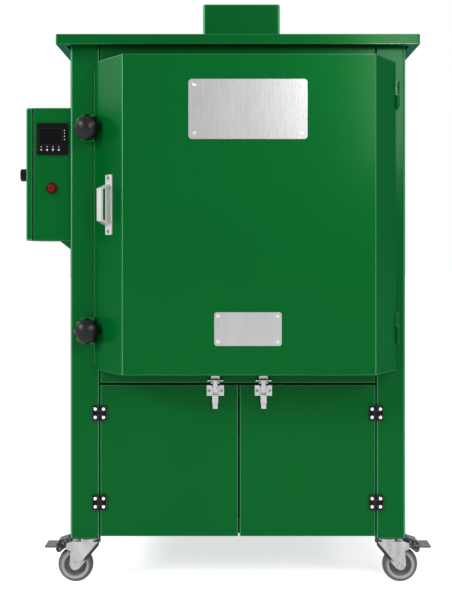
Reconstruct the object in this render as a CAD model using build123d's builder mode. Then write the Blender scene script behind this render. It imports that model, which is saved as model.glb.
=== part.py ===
"""A free-standing ceramic kiln on casters: steel casing, brick chamber, hinged main door with two
star clamps, a control box on the left side and a two-door cabinet under the chamber.

Millimetres, +Z up, the front looks along -Y. The origin is on the floor, at the middle of the
whole object's footprint.
"""

from build123d import *
import os

os.makedirs("parts", exist_ok=True)

# Firing chamber and its lining, which set the size of the casing
chamber_width = 550.0
chamber_height = 600.0
chamber_depth = 600.0
wall_brick = 100.0
rear_brick = 114.0
flat_brick = 65.0
brick_joint = 0.3
rear_fibre = 80.0
side_backing = 95.0
roof_backing = 138.0
terminal_space = 104.0
mouth_cover = 15.0
mouth_side_cover = 25.0

# Casing
body_x = 38.0  # middle of the casing, seen from the middle of the footprint
front = -399.0  # front face of the casing
body_bottom = 137.0
header_bottom = 573.0
hearth_rise = 165.0
sheet = 2.0
post_width = 81.0
post_return = 25.0
post_radius = 8.0
fold_radius = 3.0
panel_gap = 4.0
panel_fold = 18.0
tube_size = 40.0
tube_wall = 3.0
tube_setback = 30.0
pad_thickness = 6.0
rear_panel_inset = 8.0
slot_length = 120.0
slot_height = 5.0
slot_pitch = 18.0
slots_per_field = 9
slot_fields = {1300.0: (-150.0, 0.0, 150.0), 360.0: (-150.0, 150.0)}

body_width = chamber_width + 2 * (wall_brick + side_backing)
body_depth = sheet + chamber_depth + rear_brick + rear_fibre + terminal_space
left = body_x - body_width / 2
right = body_x + body_width / 2
rear = front + body_depth
chamber_floor = header_bottom + hearth_rise
chamber_roof = chamber_floor + chamber_height
chamber_left = body_x - chamber_width / 2
chamber_right = body_x + chamber_width / 2
mouth = front + sheet
chamber_rear = mouth + chamber_depth
brick_rear = chamber_rear + rear_brick
fibre_rear = brick_rear + rear_fibre
brick_left = chamber_left - wall_brick
brick_right = chamber_right + wall_brick
brick_bottom = chamber_floor - flat_brick
brick_top = chamber_roof + flat_brick
plate_top = brick_top + roof_backing
under_plate = plate_top - sheet

# Top plate and vent hood
plate_side_overhang = 33.5
plate_front_overhang = 40.0
plate_rear_overhang = 40.0
plate_lip = 28.0
plate_lip_return = 25.0
plate_corner_radius = 5.0
hood_width = 238.0
hood_depth = 220.0
hood_height = 165.0
hood_offset_x = 12.0
hood_setback = 300.0
hood_radius = 8.0
hood_flange = 20.0
outlet_width = 160.0
outlet_height = 80.0
outlet_below_top = 25.0
vent_outer_radius = 30.0
vent_bore_radius = 25.0
vent_stand = 30.0
vent_clearance = 0.5

vent_clear = vent_outer_radius + vent_clearance

# Heating elements, their terminals and the thermocouple
element_rows = 6
element_radius = 8.0
element_end_gap = 30.0
groove_clearance = 1.0
terminal_stud_radius = 3.0
terminal_reach = 22.0
probe_radius = 5.0
probe_height = 1120.0
probe_reach = 45.0
probe_head = 44.0

# Lower cabinet
cabinet_top_gap = 7.0
cabinet_bottom_gap = 6.0
cabinet_middle_gap = 5.0
cabinet_middle_offset = 3.0
door_fold = 18.0

cabinet_door_top = header_bottom - cabinet_top_gap
cabinet_door_bottom = body_bottom + cabinet_bottom_gap

# Black cabinet hinges
hinge_height = 43.0
hinge_leaf = 14.7
hinge_leaf_thickness = 5.0
hinge_barrel_radius = 5.0
hinge_running_gap = 0.3
hinge_tongue = 4.0
hinge_levels = (238.0, 488.0)

# Toggle latches
latch_places = (-63.0, 71.5)
latch_plate_width = 48.0
latch_plate_height = 29.5
latch_plate_thickness = 2.0
latch_pivot_drop = 5.0
latch_pivot_stand = 12.0
latch_bolt_drop = 15.0
latch_bolt_stand = 14.0
lever_width = 16.5
lever_tip_width = 13.5
lever_sheet = 1.6
lever_length = 57.5
bolt_bar_rise = 8.0
bolt_bar_radius = 3.0
bolt_eye = 4.0
bolt_ball_radius = 4.5
bolt_bar_width = 47.0
bolt_shank_width = 12.5
bolt_shank_thickness = 3.0
pivot_radius = 2.0
pivot_clearance = 0.15
ear_sheet = 2.0
ear_drop = 10.0
lever_stand = 6.8
lever_wall_drop = 4.5
lever_tab = 14.0
lever_margin = 4.0
keeper_prong_gap = 2.0
keeper_prong_width = 3.5
keeper_ledge = 5.0
keeper_rise = 19.0
keeper_gap = 0.5
keeper_reach = 19.0
keeper_rise_reach = 8.0

latch_pivot_height = cabinet_door_top - latch_pivot_drop
bolt_bar_height = header_bottom + bolt_bar_rise

# Main door
door_thickness = 140.0
door_inset_left = 73.0
door_inset_right = 31.0
door_slope_left = 89.0
door_slope_right = 72.0
door_above_header = 38.0
door_above_roof = 128.0
rim_stand = 20.0
shell_stand = 8.0
door_sheet = 2.0
door_bend_radius = 4.0
frame_plate = 3.0
frame_plate_side = 4.0
frame_plate_inset = 17.0
plug_side_gap = 13.0
plug_taper_gap = 10.0
plug_reach = 58.0
plug_root = 32.0
gasket_width = 22.0
gasket_gap = 0.3

door_left = left + door_inset_left
door_right = right - door_inset_right
door_face_left = door_left + door_slope_left
door_face_right = door_right - door_slope_right
door_bottom = header_bottom + door_above_header
door_top = chamber_roof + door_above_roof
door_rim_front = front - rim_stand
door_shell_back = front - shell_stand
door_face = front - door_thickness
door_back = door_shell_back + frame_plate

# Main door hinges
hinge_axis_gap = 6.0
hinge_axis_stand = 15.0
door_knuckle_radius = 5.5
door_pin_radius = 3.0
lower_barrel = (76.0, 122.0, 158.0)  # bottom, split and top, above the door's bottom
upper_barrel = (-126.0, -90.0, -51.0)  # bottom, split and top, from the door's top
knuckle_gap = 0.5

door_hinge_x = door_right + hinge_axis_gap
door_hinge_y = front - hinge_axis_stand
door_hinge_levels = (
    [door_bottom + height for height in lower_barrel],
    [door_top + height for height in upper_barrel],
)

# Star clamps on the left edge of the main door
clamp_inset = 56.0
lower_clamp_rise = 110.0
upper_clamp_drop = 185.0
boss_radius = 11.0
boss_length = 12.0
stud_radius = 6.0
stud_hole_radius = 6.9
lug_stand = 36.0
lug_plate = 6.0
lug_height = 72.0
lug_web = 3.6
lug_reach = 20.0
thrust_thickness = 3.0
thrust_radius = 13.0
knob_lobes = 8
knob_radius = 36.25
scallop_radius = 11.5
scallop_depth = 5.75
lobe_round = 2.5
knob_neck_radius = 15.0
knob_neck = 10.0
knob_body = 30.0
knob_dome = ((0.89, 0.0), (1.03, 0.3), (0.8, 0.67), (0.0, 1.0))  # shares of the radius and of the body
stud_engagement = 9.0

clamp_x = left + clamp_inset
clamp_levels = {"lower": door_bottom + lower_clamp_rise, "upper": door_top - upper_clamp_drop}
lug_front = front - lug_stand

# Pull handle on the left chamfer of the main door
handle_height = 1067.0
handle_plate_length = 163.0
handle_plate_width = 34.0
handle_plate_thickness = 3.0
handle_grip_width = 24.0
handle_grip_thickness = 6.0
handle_grip_length = 88.0
handle_foot_length = 118.0
handle_stand = 32.0
handle_place = 0.535

# Name plates, left bare
plate_thickness = 1.5
name_plate_sizes = ((317.0, 160.0, 10.0), (179.5, 89.5, 7.0))
name_plate_offset = 26.5
upper_plate_drop = 146.5
lower_plate_rise = 123.0
rivet_insets = (16.0, 10.5)
rivet_radius = 4.8
rivet_height = 1.6
rivet_hole_radius = 1.4
rivet_round = 1.0

name_plate_places = (
    (name_plate_offset, door_top - upper_plate_drop),
    (name_plate_offset, door_bottom + lower_plate_rise),
)

# Control box on the left side
box_width = 106.0
box_depth = 220.0
box_bottom = 970.0
box_height = 375.0
box_setback = 20.0
box_sheet = 1.5
box_bend_radius = 3.0
gasket_thickness = 4.0
lid_thickness = 17.0
lid_bevel = 4.0
lid_corner = 6.0
gusset_width = 34.0
gusset_height = 26.0
gusset_plate = 3.0
lid_segments = 5
lid_segment = 48.0

box_left = left - box_width
box_front = front + box_setback
box_rear = box_front + box_depth
box_top = box_bottom + box_height
box_middle_z = box_bottom + box_height / 2
lid_inner = box_left - gasket_thickness
lid_outer = lid_inner - lid_thickness

# Devices on and in the control box
controller_inset = 53.0
controller_x = box_left + controller_inset
controller_z = 1257.0
controller_width = 87.0
controller_height = 90.0
controller_bezel = 7.0
controller_round = 2.5
window_inset = 8.0
window_below_middle = 17.0
window_depth = 1.0
controller_case = 80.0
controller_case_depth = 66.0
pilot_inset = 51.5
pilot_x = box_left + pilot_inset
pilot_z = 1118.5
pilot_bezel_radius = 16.0
pilot_bezel = 6.0
pilot_lens_radius = 11.0
pilot_lens = 5.0
pilot_neck_radius = 10.8
pilot_hole_radius = 11.2
pilot_neck = 38.0
pilot_round = 2.0
lens_round = 3.0
gland_inset = 53.0
gland_x = left - gland_inset
gland_z = 1020.0
gland_bore_radius = 5.0
gland_thread_radius = 10.0
gland_hex_radius = 14.0
gland_flange = 6.0
gland_dome = 16.0
gland_dome_radius = 11.0
gland_round = 5.0
gland_inside = 12.0
gland_clearance = 0.2
board_thickness = 2.5
board_inset = 15.0
rail_depth = 7.5
rail_z = (1132.0, 1167.0)
gear_pitch = 47.0
gear_width = 45.0
gear_depth = 58.0
gear_height = 80.0
gear_setback = 64.0
gear_cap = 6.0
gear_cap_inset = 18.0
terminal_slices = 4
terminal_pitch = 9.0
terminal_width = 8.5
terminal_depth = 40.0
terminal_overhang = 8.0
cable_hole_radius = 17.0
switch_inset = 70.0
switch_y = box_front + switch_inset
switch_z = 1160.0
switch_plate = 46.0
switch_plate_thickness = 3.0
switch_case = 42.0
switch_case_depth = 34.0
switch_hole_radius = 11.2
switch_neck_radius = 10.8
switch_knob_radius = 20.0
switch_knob_height = 25.0
switch_skirt = 8.0
switch_round = 2.0
switch_shaft_radius = 3.0
switch_shaft_length = 14.0
shaft_clearance = 0.1
lid_hinge_x = box_left
lid_hinge_y = box_rear + 6.0
lid_hinge_radius = 4.0
lid_hinge_pin_radius = 1.5

# Casters
caster_side_inset = 43.0
caster_end_inset = 55.0
caster_plate_x = 80.0
caster_plate_y = 105.0
caster_plate_thickness = 3.0
race_radius = 27.0
race_height = 16.0
king_pin_radius = 6.0
king_nut_radius = 9.6
fork_trail = 35.0
fork_sheet = 3.0
fork_inner_width = 38.0
fork_top = 117.7
wheel_radius = 50.0
wheel_width = 32.0
hub_radius = 31.0
hub_boss_radius = 11.0
hub_side_gap = 0.3
web_radius = 26.0
web_inset = 6.0
web_flare = 1.0
hub_inset = 2.5
tread_start = 14.0
tread_inset = 0.5
tread_shoulder = 10.0
axle_radius = 4.0
axle_head_radius = 8.5
axle_head = 4.0
wheel_clearance = 0.1
crown_back = 33.0
crown_front = 45.0
leg_back_height = 107.0
leg_foot = (23.0, 41.0)
leg_front = (50.0, 50.0)
axle_eye_radius = 13.0
pedal_pivot = (41.0, 108.0)
pedal_pin_radius = 2.5
pedal_eye_radius = 4.5
pedal_side_gap = 1.0
pedal_root = (47.0, 107.0)
pedal_neck_top = 112.0
pedal_outline = (  # distance from the swivel axis and height
    (47, 126), (55, 129), (80, 121), (90, 109), (89, 93), (84, 86), (77, 87), (66, 96), (47, 107),
)
tread_outline = ((86, 108.5), (118, 108.5), (120, 105), (119, 101.5), (86, 101.5))
tread_half = 25.0
leg_ear = ((46.5, 92), (58, 95), (60, 105), (58, 113))


def middle(span):
    """Halfway along a (low, high) pair."""
    return (span[0] + span[1]) / 2


def bar(x, y, z, mode=Mode.ADD):
    """A rectangular solid between its low and high corners, in the part being made."""
    with Locations((middle(x), middle(y), middle(z))):
        Box(x[1] - x[0], y[1] - y[0], z[1] - z[0], mode=mode)


def rod_x(x, y, z, radius, mode=Mode.ADD):
    """A round bar along X."""
    with Locations((middle(x), y, z)):
        Cylinder(radius, x[1] - x[0], rotation=(0, 90, 0), mode=mode)


def rod_y(x, y, z, radius, mode=Mode.ADD):
    """A round bar along Y."""
    with Locations((x, middle(y), z)):
        Cylinder(radius, y[1] - y[0], rotation=(90, 0, 0), mode=mode)


def rod_z(x, y, z, radius, mode=Mode.ADD):
    """A round bar along Z."""
    with Locations((x, y, middle(z))):
        Cylinder(radius, z[1] - z[0], mode=mode)


# Lower frame of square tube, with the cabinet floor and four pads for the casters
frame_x = (left + sheet, right - sheet)
frame_y = (front + tube_setback, rear - tube_setback)
base_low = body_bottom + pad_thickness
base_high = base_low + tube_size
cabinet_floor = base_high + sheet
caster_columns = {"left": left + caster_side_inset, "right": right - caster_side_inset}
caster_rows = {"front": front + caster_end_inset, "rear": rear - caster_end_inset}


def tube_ring(x, y, z):
    """A rectangle of square tube, hollow inside, in the part being made."""
    bar(x, y, z)
    inside_x = (x[0] + tube_size, x[1] - tube_size)
    inside_y = (y[0] + tube_size, y[1] - tube_size)
    bar(inside_x, inside_y, z, mode=Mode.SUBTRACT)
    hollow_z = (z[0] + tube_wall, z[1] - tube_wall)
    hollow_x = (x[0] + tube_wall, x[1] - tube_wall)
    across = tube_size - tube_wall
    for low, high in ((y[0] + tube_wall, y[0] + across), (y[1] - across, y[1] - tube_wall)):
        bar(hollow_x, (low, high), hollow_z, mode=Mode.SUBTRACT)
    hollow_y = (y[0] + tube_wall, y[1] - tube_wall)
    for low, high in ((x[0] + tube_wall, x[0] + across), (x[1] - across, x[1] - tube_wall)):
        bar((low, high), hollow_y, hollow_z, mode=Mode.SUBTRACT)


with BuildPart() as base_frame:
    tube_ring(frame_x, frame_y, (base_low, base_high))
    bar(frame_x, frame_y, (base_high, cabinet_floor))
    for pad_x in caster_columns.values():
        for pad_y in caster_rows.values():
            pad_span_x = (pad_x - caster_plate_x / 2, pad_x + caster_plate_x / 2)
            pad_low = max(pad_y - caster_plate_y / 2, frame_y[0])
            pad_high = min(pad_y + caster_plate_y / 2, frame_y[1])
            bar(pad_span_x, (pad_low, pad_high), (body_bottom, base_low))
base_frame.part.label = "base_frame"
export_step(base_frame.part, "parts/base_frame.step")

# Chamber deck: a second ring of tube with the deck sheet that carries the floor lining
deck_low = header_bottom + sheet - tube_size
deck_top = deck_low + tube_size + sheet
with BuildPart() as chamber_deck:
    tube_ring(frame_x, frame_y, (deck_low, deck_low + tube_size))
    bar(frame_x, frame_y, (deck_low + tube_size, deck_top))
chamber_deck.part.label = "chamber_deck"
export_step(chamber_deck.part, "parts/chamber_deck.step")

# Side panels: one folded sheet each, whose front and rear flanges are the corner posts
cable_hole = (front + box_setback + box_depth / 2, 1010.0)
for name, outer, inward in (("left_side_panel", left, 1), ("right_side_panel", right, -1)):
    post_middle = outer + inward * post_width / 2
    with BuildPart() as side_panel:
        with BuildSketch(Plane.XY.offset(body_bottom)) as outline:
            with Locations((post_middle, front + body_depth / 2)):
                Rectangle(post_width, body_depth)
            outer_corners = outline.vertices().filter_by_position(Axis.X, outer - 1, outer + 1)
            fillet(outer_corners, post_radius)
            offset(amount=-sheet, mode=Mode.SUBTRACT)
        extrude(amount=under_plate - body_bottom)
        inner_edge = outer + inward * post_width
        opening_x = sorted((inner_edge - inward * 2 * sheet, inner_edge))
        opening_y = (front + sheet + post_return, rear - sheet - post_return)
        bar(opening_x, opening_y, (body_bottom, under_plate), mode=Mode.SUBTRACT)
        upright = side_panel.edges().filter_by(Axis.Z)
        folds = upright.filter_by_position(Axis.X, inner_edge - 1, inner_edge + 1)
        fillet([*folds.group_by(Axis.Y)[0], *folds.group_by(Axis.Y)[-1]], fold_radius)
        if name == "left_side_panel":
            rod_x((left, left + sheet), *cable_hole, cable_hole_radius, mode=Mode.SUBTRACT)
            for level in clamp_levels.values():
                rod_y(clamp_x, (front - boss_length, front), level, boss_radius)
                bore = (front - boss_length, front + sheet)
                rod_y(clamp_x, bore, level, stud_hole_radius, mode=Mode.SUBTRACT)
    side_panel.part.label = name
    export_step(side_panel.part, f"parts/{name}.step")

# Front panel between the posts, open at the chamber mouth
panel_x = (left + post_width + panel_gap, right - post_width - panel_gap)
panel_y = (front, front + sheet)
mouth_x = (brick_left + mouth_side_cover, brick_right - mouth_side_cover)
mouth_z = (brick_bottom + mouth_cover, brick_top - mouth_cover)
with BuildPart() as front_panel:
    bar(panel_x, panel_y, (header_bottom, under_plate))
    bar(mouth_x, panel_y, mouth_z, mode=Mode.SUBTRACT)
    fold_y = (front, front + sheet + panel_fold)
    bar((panel_x[0], panel_x[0] + sheet), fold_y, (header_bottom, under_plate))
    bar((panel_x[1] - sheet, panel_x[1]), fold_y, (header_bottom, under_plate))
    bar(panel_x, fold_y, (header_bottom, header_bottom + sheet))
    bar(panel_x, fold_y, (under_plate - sheet, under_plate))
    panel_folds = front_panel.edges().filter_by(Axis.Z).group_by(Axis.Y)[0]
    fillet([*panel_folds.group_by(Axis.X)[0], *panel_folds.group_by(Axis.X)[-1]], sheet)
front_panel.part.label = "front_panel"
export_step(front_panel.part, "parts/front_panel.step")

# Rear panel lies on the rear flanges, with two fields of ventilation slots
rear_panel_x = (left + rear_panel_inset, right - rear_panel_inset)
rear_panel_z = (body_bottom + rear_panel_inset, under_plate - plate_lip - rear_panel_inset)
with BuildPart() as rear_panel:
    bar(rear_panel_x, (rear, rear + sheet), rear_panel_z)
    for field_z, columns in slot_fields.items():
        for column in columns:
            slot_x = (body_x + column - slot_length / 2, body_x + column + slot_length / 2)
            for row in range(slots_per_field):
                slot_low = field_z + (row - slots_per_field / 2) * slot_pitch
                bar(slot_x, (rear, rear + sheet), (slot_low, slot_low + slot_height), mode=Mode.SUBTRACT)
rear_panel.part.label = "rear_panel"
export_step(rear_panel.part, "parts/rear_panel.step")

# Top plate: a tray turned over, with a lip all round that returns inwards
plate_x = (left - plate_side_overhang, right + plate_side_overhang)
plate_y = (front - plate_front_overhang, rear + plate_rear_overhang)
hood_x = body_x + hood_offset_x
hood_y = front + hood_setback + hood_depth / 2
with BuildPart() as top_plate:
    with BuildSketch(Plane.XY.offset(plate_top - plate_lip)):
        with Locations((middle(plate_x), middle(plate_y))):
            RectangleRounded(plate_x[1] - plate_x[0], plate_y[1] - plate_y[0], plate_corner_radius)
    extrude(amount=plate_lip)
    top_edges = top_plate.edges().group_by(Axis.Z)[-1]
    fillet(top_edges, sheet)
    inner_x = (plate_x[0] + sheet, plate_x[1] - sheet)
    inner_y = (plate_y[0] + sheet, plate_y[1] - sheet)
    bar(inner_x, inner_y, (plate_top - plate_lip + sheet, under_plate), mode=Mode.SUBTRACT)
    window_x = (plate_x[0] + plate_lip_return, plate_x[1] - plate_lip_return)
    window_y = (plate_y[0] + plate_lip_return, plate_y[1] - plate_lip_return)
    lip_bottom = (plate_top - plate_lip, plate_top - plate_lip + sheet)
    bar(window_x, window_y, lip_bottom, mode=Mode.SUBTRACT)
    rod_z(hood_x, hood_y, (under_plate, plate_top), vent_clear, mode=Mode.SUBTRACT)
top_plate.part.label = "top_plate"
export_step(top_plate.part, "parts/top_plate.step")

# Vent hood: a folded box with a welded top, an outlet at the rear and a foot flange inside
hood_top = plate_top + hood_height
with BuildPart() as vent_hood:
    with BuildSketch(Plane.XY.offset(plate_top)):
        with Locations((hood_x, hood_y)):
            RectangleRounded(hood_width, hood_depth, hood_radius)
    extrude(amount=hood_height)
    fillet(vent_hood.edges().group_by(Axis.Z)[-1], 2 * sheet)
    with BuildSketch(Plane.XY.offset(plate_top)):
        with Locations((hood_x, hood_y)):
            RectangleRounded(hood_width - 2 * sheet, hood_depth - 2 * sheet, hood_radius - sheet)
    extrude(amount=hood_height - sheet, mode=Mode.SUBTRACT)
    outlet_x = (hood_x - outlet_width / 2, hood_x + outlet_width / 2)
    outlet_y = (hood_y + hood_depth / 2 - sheet, hood_y + hood_depth / 2)
    outlet_z = (hood_top - outlet_below_top - outlet_height, hood_top - outlet_below_top)
    bar(outlet_x, outlet_y, outlet_z, mode=Mode.SUBTRACT)
    for side in (-1, 1):
        wall = hood_x + side * (hood_width / 2 - sheet)
        flange_x = sorted((wall, wall - side * hood_flange))
        flange_y = (hood_y - hood_depth / 2 + hood_radius, hood_y + hood_depth / 2 - hood_radius)
        bar(flange_x, flange_y, (plate_top, plate_top + sheet))
vent_hood.part.label = "vent_hood"
export_step(vent_hood.part, "parts/vent_hood.step")

# Vent tube from the chamber roof into the hood, with a collar on the top plate
with BuildPart() as vent_tube:
    tube_z = (chamber_roof, plate_top + vent_stand)
    rod_z(hood_x, hood_y, tube_z, vent_outer_radius)
    rod_z(hood_x, hood_y, (plate_top, plate_top + sheet), vent_outer_radius + hood_flange)
    rod_z(hood_x, hood_y, tube_z, vent_bore_radius, mode=Mode.SUBTRACT)
vent_tube.part.label = "vent_tube"
export_step(vent_tube.part, "parts/vent_tube.step")

# Heating element rows, shared by the grooves, the coils' outer shape and the terminals
row_pitch = chamber_height / element_rows
element_levels = [chamber_floor + row_pitch * (row + 0.5) for row in range(element_rows)]
groove_radius = element_radius + groove_clearance
element_places = (chamber_left - element_radius, chamber_right + element_radius)
probe_bore = probe_radius + groove_clearance

# Chamber bricks, laid dry with thin joints: floor, two grooved side walls, rear wall and roof
wall_z = (brick_bottom, chamber_roof - brick_joint)
with BuildPart() as chamber_bricks:
    between_walls = (chamber_left + brick_joint, chamber_right - brick_joint)
    bar(between_walls, (mouth, chamber_rear - brick_joint), (brick_bottom, chamber_floor))
    for wall_x in ((brick_left, chamber_left), (chamber_right, brick_right)):
        bar(wall_x, (mouth, brick_rear), wall_z)
    for coil_x, face_x in zip(element_places, (chamber_left, chamber_right)):
        for level in element_levels:
            groove_y = (mouth + element_end_gap, brick_rear)
            rod_y(coil_x, groove_y, level, groove_radius, mode=Mode.SUBTRACT)
            slot = sorted((coil_x, face_x))
            slot_y = (mouth + element_end_gap, chamber_rear)
            slot_z = (level - groove_radius, level + groove_radius)
            bar(slot, slot_y, slot_z, mode=Mode.SUBTRACT)
    bar(between_walls, (chamber_rear, brick_rear), wall_z)
    rod_y(body_x, (chamber_rear, brick_rear), probe_height, probe_bore, mode=Mode.SUBTRACT)
    bar((brick_left, brick_right), (mouth, brick_rear), (chamber_roof, brick_top))
    rod_z(hood_x, hood_y, (chamber_roof, brick_top), vent_clear, mode=Mode.SUBTRACT)
chamber_bricks.part.label = "chamber_bricks"
export_step(chamber_bricks.part, "parts/chamber_bricks.step")

# Fibre backing between the bricks and the casing: floor, sides, rear and roof
fibre_front = front + tube_setback + post_return
with BuildPart() as fibre_backing:
    bar((brick_left, brick_right), (fibre_front, brick_rear), (deck_top, brick_bottom))
    side_fibre_y = (fibre_front, brick_rear)
    bar((left + sheet, brick_left - brick_joint), side_fibre_y, (deck_top, brick_top))
    bar((brick_right + brick_joint, right - sheet), side_fibre_y, (deck_top, brick_top))
    rear_fibre_y = (brick_rear + brick_joint, fibre_rear)
    bar(frame_x, rear_fibre_y, (deck_top, brick_top))
    bar(frame_x, (fibre_front, fibre_rear), (brick_top + brick_joint, under_plate))
    rod_z(hood_x, hood_y, (brick_top, under_plate), vent_clear, mode=Mode.SUBTRACT)
    for coil_x in element_places:
        for level in element_levels:
            rod_y(coil_x, rear_fibre_y, level, groove_radius, mode=Mode.SUBTRACT)
    rod_y(body_x, rear_fibre_y, probe_height, probe_bore, mode=Mode.SUBTRACT)
fibre_backing.part.label = "fibre_backing"
export_step(fibre_backing.part, "parts/fibre_backing.step")

# Heating elements: the outer shape of each wound coil, lying in its groove
with BuildPart() as heating_elements:
    for coil_x in element_places:
        for level in element_levels:
            coil_y = (mouth + element_end_gap + groove_clearance, chamber_rear)
            rod_y(coil_x, coil_y, level - groove_clearance, element_radius)
heating_elements.part.label = "heating_elements"
export_step(heating_elements.part, "parts/heating_elements.step")

# Terminals: a ceramic sleeve and a stud for each element, reaching into the space at the rear
with BuildPart() as element_terminals:
    for coil_x in element_places:
        for level in element_levels:
            sleeve_z = level - groove_clearance
            rod_y(coil_x, (chamber_rear, fibre_rear + terminal_reach / 2), sleeve_z, element_radius)
            stud_y = (fibre_rear + terminal_reach / 2, fibre_rear + terminal_reach)
            rod_y(coil_x, stud_y, sleeve_z, terminal_stud_radius)
element_terminals.part.label = "element_terminals"
export_step(element_terminals.part, "parts/element_terminals.step")

# Thermocouple: a closed sheath through the rear wall, with its connection head behind the fibre
with BuildPart() as thermocouple:
    rod_y(body_x, (chamber_rear - probe_reach, fibre_rear), probe_height, probe_radius)
    rod_y(body_x, (fibre_rear, fibre_rear + probe_head / 2), probe_height, probe_head / 2)
thermocouple.part.label = "thermocouple"
export_step(thermocouple.part, "parts/thermocouple.step")

# Main door shell: a hollow folded pan with flat top and bottom and two slanting sides
door_outline = (
    (door_left, door_shell_back),
    (door_left, door_rim_front),
    (door_face_left, door_face),
    (door_face_right, door_face),
    (door_right, door_rim_front),
    (door_right, door_shell_back),
)
with BuildPart() as door_shell:
    with BuildSketch(Plane.XY.offset(door_bottom)):
        with BuildLine():
            Polyline(*door_outline, close=True)
        make_face()
    extrude(amount=door_top - door_bottom)
    slanted = door_shell.edges().filter_by(Axis.Z).group_by(Axis.Y)[0:2]
    fillet([edge for group in slanted for edge in group], door_bend_radius)
    with BuildSketch(Plane.XY.offset(door_bottom + door_sheet)):
        with BuildLine():
            Polyline(*door_outline, close=True)
        make_face()
        offset(amount=-door_sheet, mode=Mode.REPLACE)
        with Locations((middle((door_left, door_right)), door_shell_back)):
            Rectangle(door_right - door_left - 2 * door_sheet, 3 * door_sheet)
    extrude(amount=door_top - door_bottom - 2 * door_sheet, mode=Mode.SUBTRACT)
door_shell.part.label = "door_shell"
export_step(door_shell.part, "parts/door_shell.step")

# Plug of brick on the back of the door, tapered to clear the mouth as the door swings
plug_half = chamber_width / 2 - plug_side_gap
plug_z = (chamber_floor + plug_side_gap, chamber_roof - plug_side_gap)
plug_middle_z = middle(plug_z)
plug_height = plug_z[1] - plug_z[0]
plug_front = door_back - plug_root
plug_tip = mouth + plug_reach
with BuildPart() as door_bricks:
    bar((body_x - plug_half, body_x + plug_half), (plug_front, mouth), plug_z)
    with BuildSketch(Plane.XZ.offset(-mouth)):
        with Locations((body_x, plug_middle_z)):
            Rectangle(2 * plug_half, plug_height)
    with BuildSketch(Plane.XZ.offset(-plug_tip)):
        with Locations((body_x, plug_middle_z)):
            Rectangle(2 * (plug_half - plug_taper_gap), plug_height - 2 * plug_taper_gap)
    loft()
door_bricks.part.label = "door_bricks"
export_step(door_bricks.part, "parts/door_bricks.step")

# Fibre that fills the door shell around and in front of the plug
fibre_width = door_right - door_left - 2 * door_sheet - 4 * brick_joint
with BuildPart() as door_fibre:
    with BuildSketch(Plane.XY.offset(door_bottom + door_sheet)):
        with BuildLine():
            Polyline(*door_outline, close=True)
        make_face()
        offset(amount=-door_sheet - brick_joint, mode=Mode.REPLACE)
        with Locations((middle((door_left, door_right)), door_shell_back - door_sheet)):
            Rectangle(fibre_width, 2 * door_sheet)
    extrude(amount=door_top - door_bottom - 2 * door_sheet)
    root_x = (body_x - plug_half, body_x + plug_half)
    bar(root_x, (plug_front, door_shell_back), plug_z, mode=Mode.SUBTRACT)
door_fibre.part.label = "door_fibre"
export_step(door_fibre.part, "parts/door_fibre.step")

# Back frame of the door with its welded clamp lugs and the upper half of each hinge barrel
plate_low = door_bottom + frame_plate_inset
plate_high = door_top - frame_plate_inset
with BuildPart() as door_back_frame:
    frame_span_x = (door_left - frame_plate_side, door_right)
    frame_span_y = (door_shell_back, door_back)
    bar(frame_span_x, frame_span_y, (plate_low, plate_high))
    bar(root_x, frame_span_y, plug_z, mode=Mode.SUBTRACT)
    for level in clamp_levels.values():
        lug_z = (level - lug_height / 2, level + lug_height / 2)
        bar((door_left - lug_web, door_left), (lug_front, door_back), lug_z)
        bar((clamp_x - lug_reach, door_left), (lug_front, lug_front + lug_plate), lug_z)
        lug_bore = (lug_front, lug_front + lug_plate)
        rod_y(clamp_x, lug_bore, level, stud_hole_radius, mode=Mode.SUBTRACT)
    lug_ends = door_back_frame.edges().filter_by(Axis.Y).group_by(Axis.X)[0]
    fillet(lug_ends, lug_plate)
    for low, split, high in door_hinge_levels:
        rod_z(door_hinge_x, door_hinge_y, (split, high), door_knuckle_radius)
        bar((door_right, door_hinge_x), (door_rim_front, door_back), (split, high))
        bore_z = (split, high - door_pin_radius + knuckle_gap)
        pin_bore = door_pin_radius + shaft_clearance
        rod_z(door_hinge_x, door_hinge_y, bore_z, pin_bore, mode=Mode.SUBTRACT)
door_back_frame.part.label = "door_back_frame"
export_step(door_back_frame.part, "parts/door_back_frame.step")

# Door gasket: a rope of ceramic fibre round the plug, pressed on the brick face
with BuildPart() as door_gasket:
    gasket_y = (door_back, mouth - gasket_gap)
    gasket_in = plug_half + plug_side_gap + groove_clearance
    gasket_out = gasket_in + gasket_width
    gasket_low = plug_z[0] - plug_side_gap - groove_clearance
    gasket_high = plug_z[1] + plug_side_gap + groove_clearance
    ring_z = (gasket_low - gasket_width, gasket_high + gasket_width)
    bar((body_x - gasket_out, body_x + gasket_out), gasket_y, ring_z)
    ring_edges = door_gasket.edges().filter_by(Axis.Y)
    fillet(ring_edges, gasket_width / 2)
    hole_x = (body_x - gasket_in, body_x + gasket_in)
    bar(hole_x, gasket_y, (gasket_low, gasket_high), mode=Mode.SUBTRACT)
door_gasket.part.label = "door_gasket"
export_step(door_gasket.part, "parts/door_gasket.step")

# Main door hinges: the lower half of each barrel is welded to the right post and holds the pin
with BuildPart() as frame_hinge_knuckles:
    for low, split, high in door_hinge_levels:
        rod_z(door_hinge_x, door_hinge_y, (low, split - knuckle_gap), door_knuckle_radius)
        web_x = (door_hinge_x - door_pin_radius, door_hinge_x + door_pin_radius)
        bar(web_x, (door_hinge_y, front), (low, split - knuckle_gap))
        rod_z(door_hinge_x, door_hinge_y, (low, high - door_pin_radius), door_pin_radius)
frame_hinge_knuckles.part.label = "frame_hinge_knuckles"
export_step(frame_hinge_knuckles.part, "parts/frame_hinge_knuckles.step")

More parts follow.
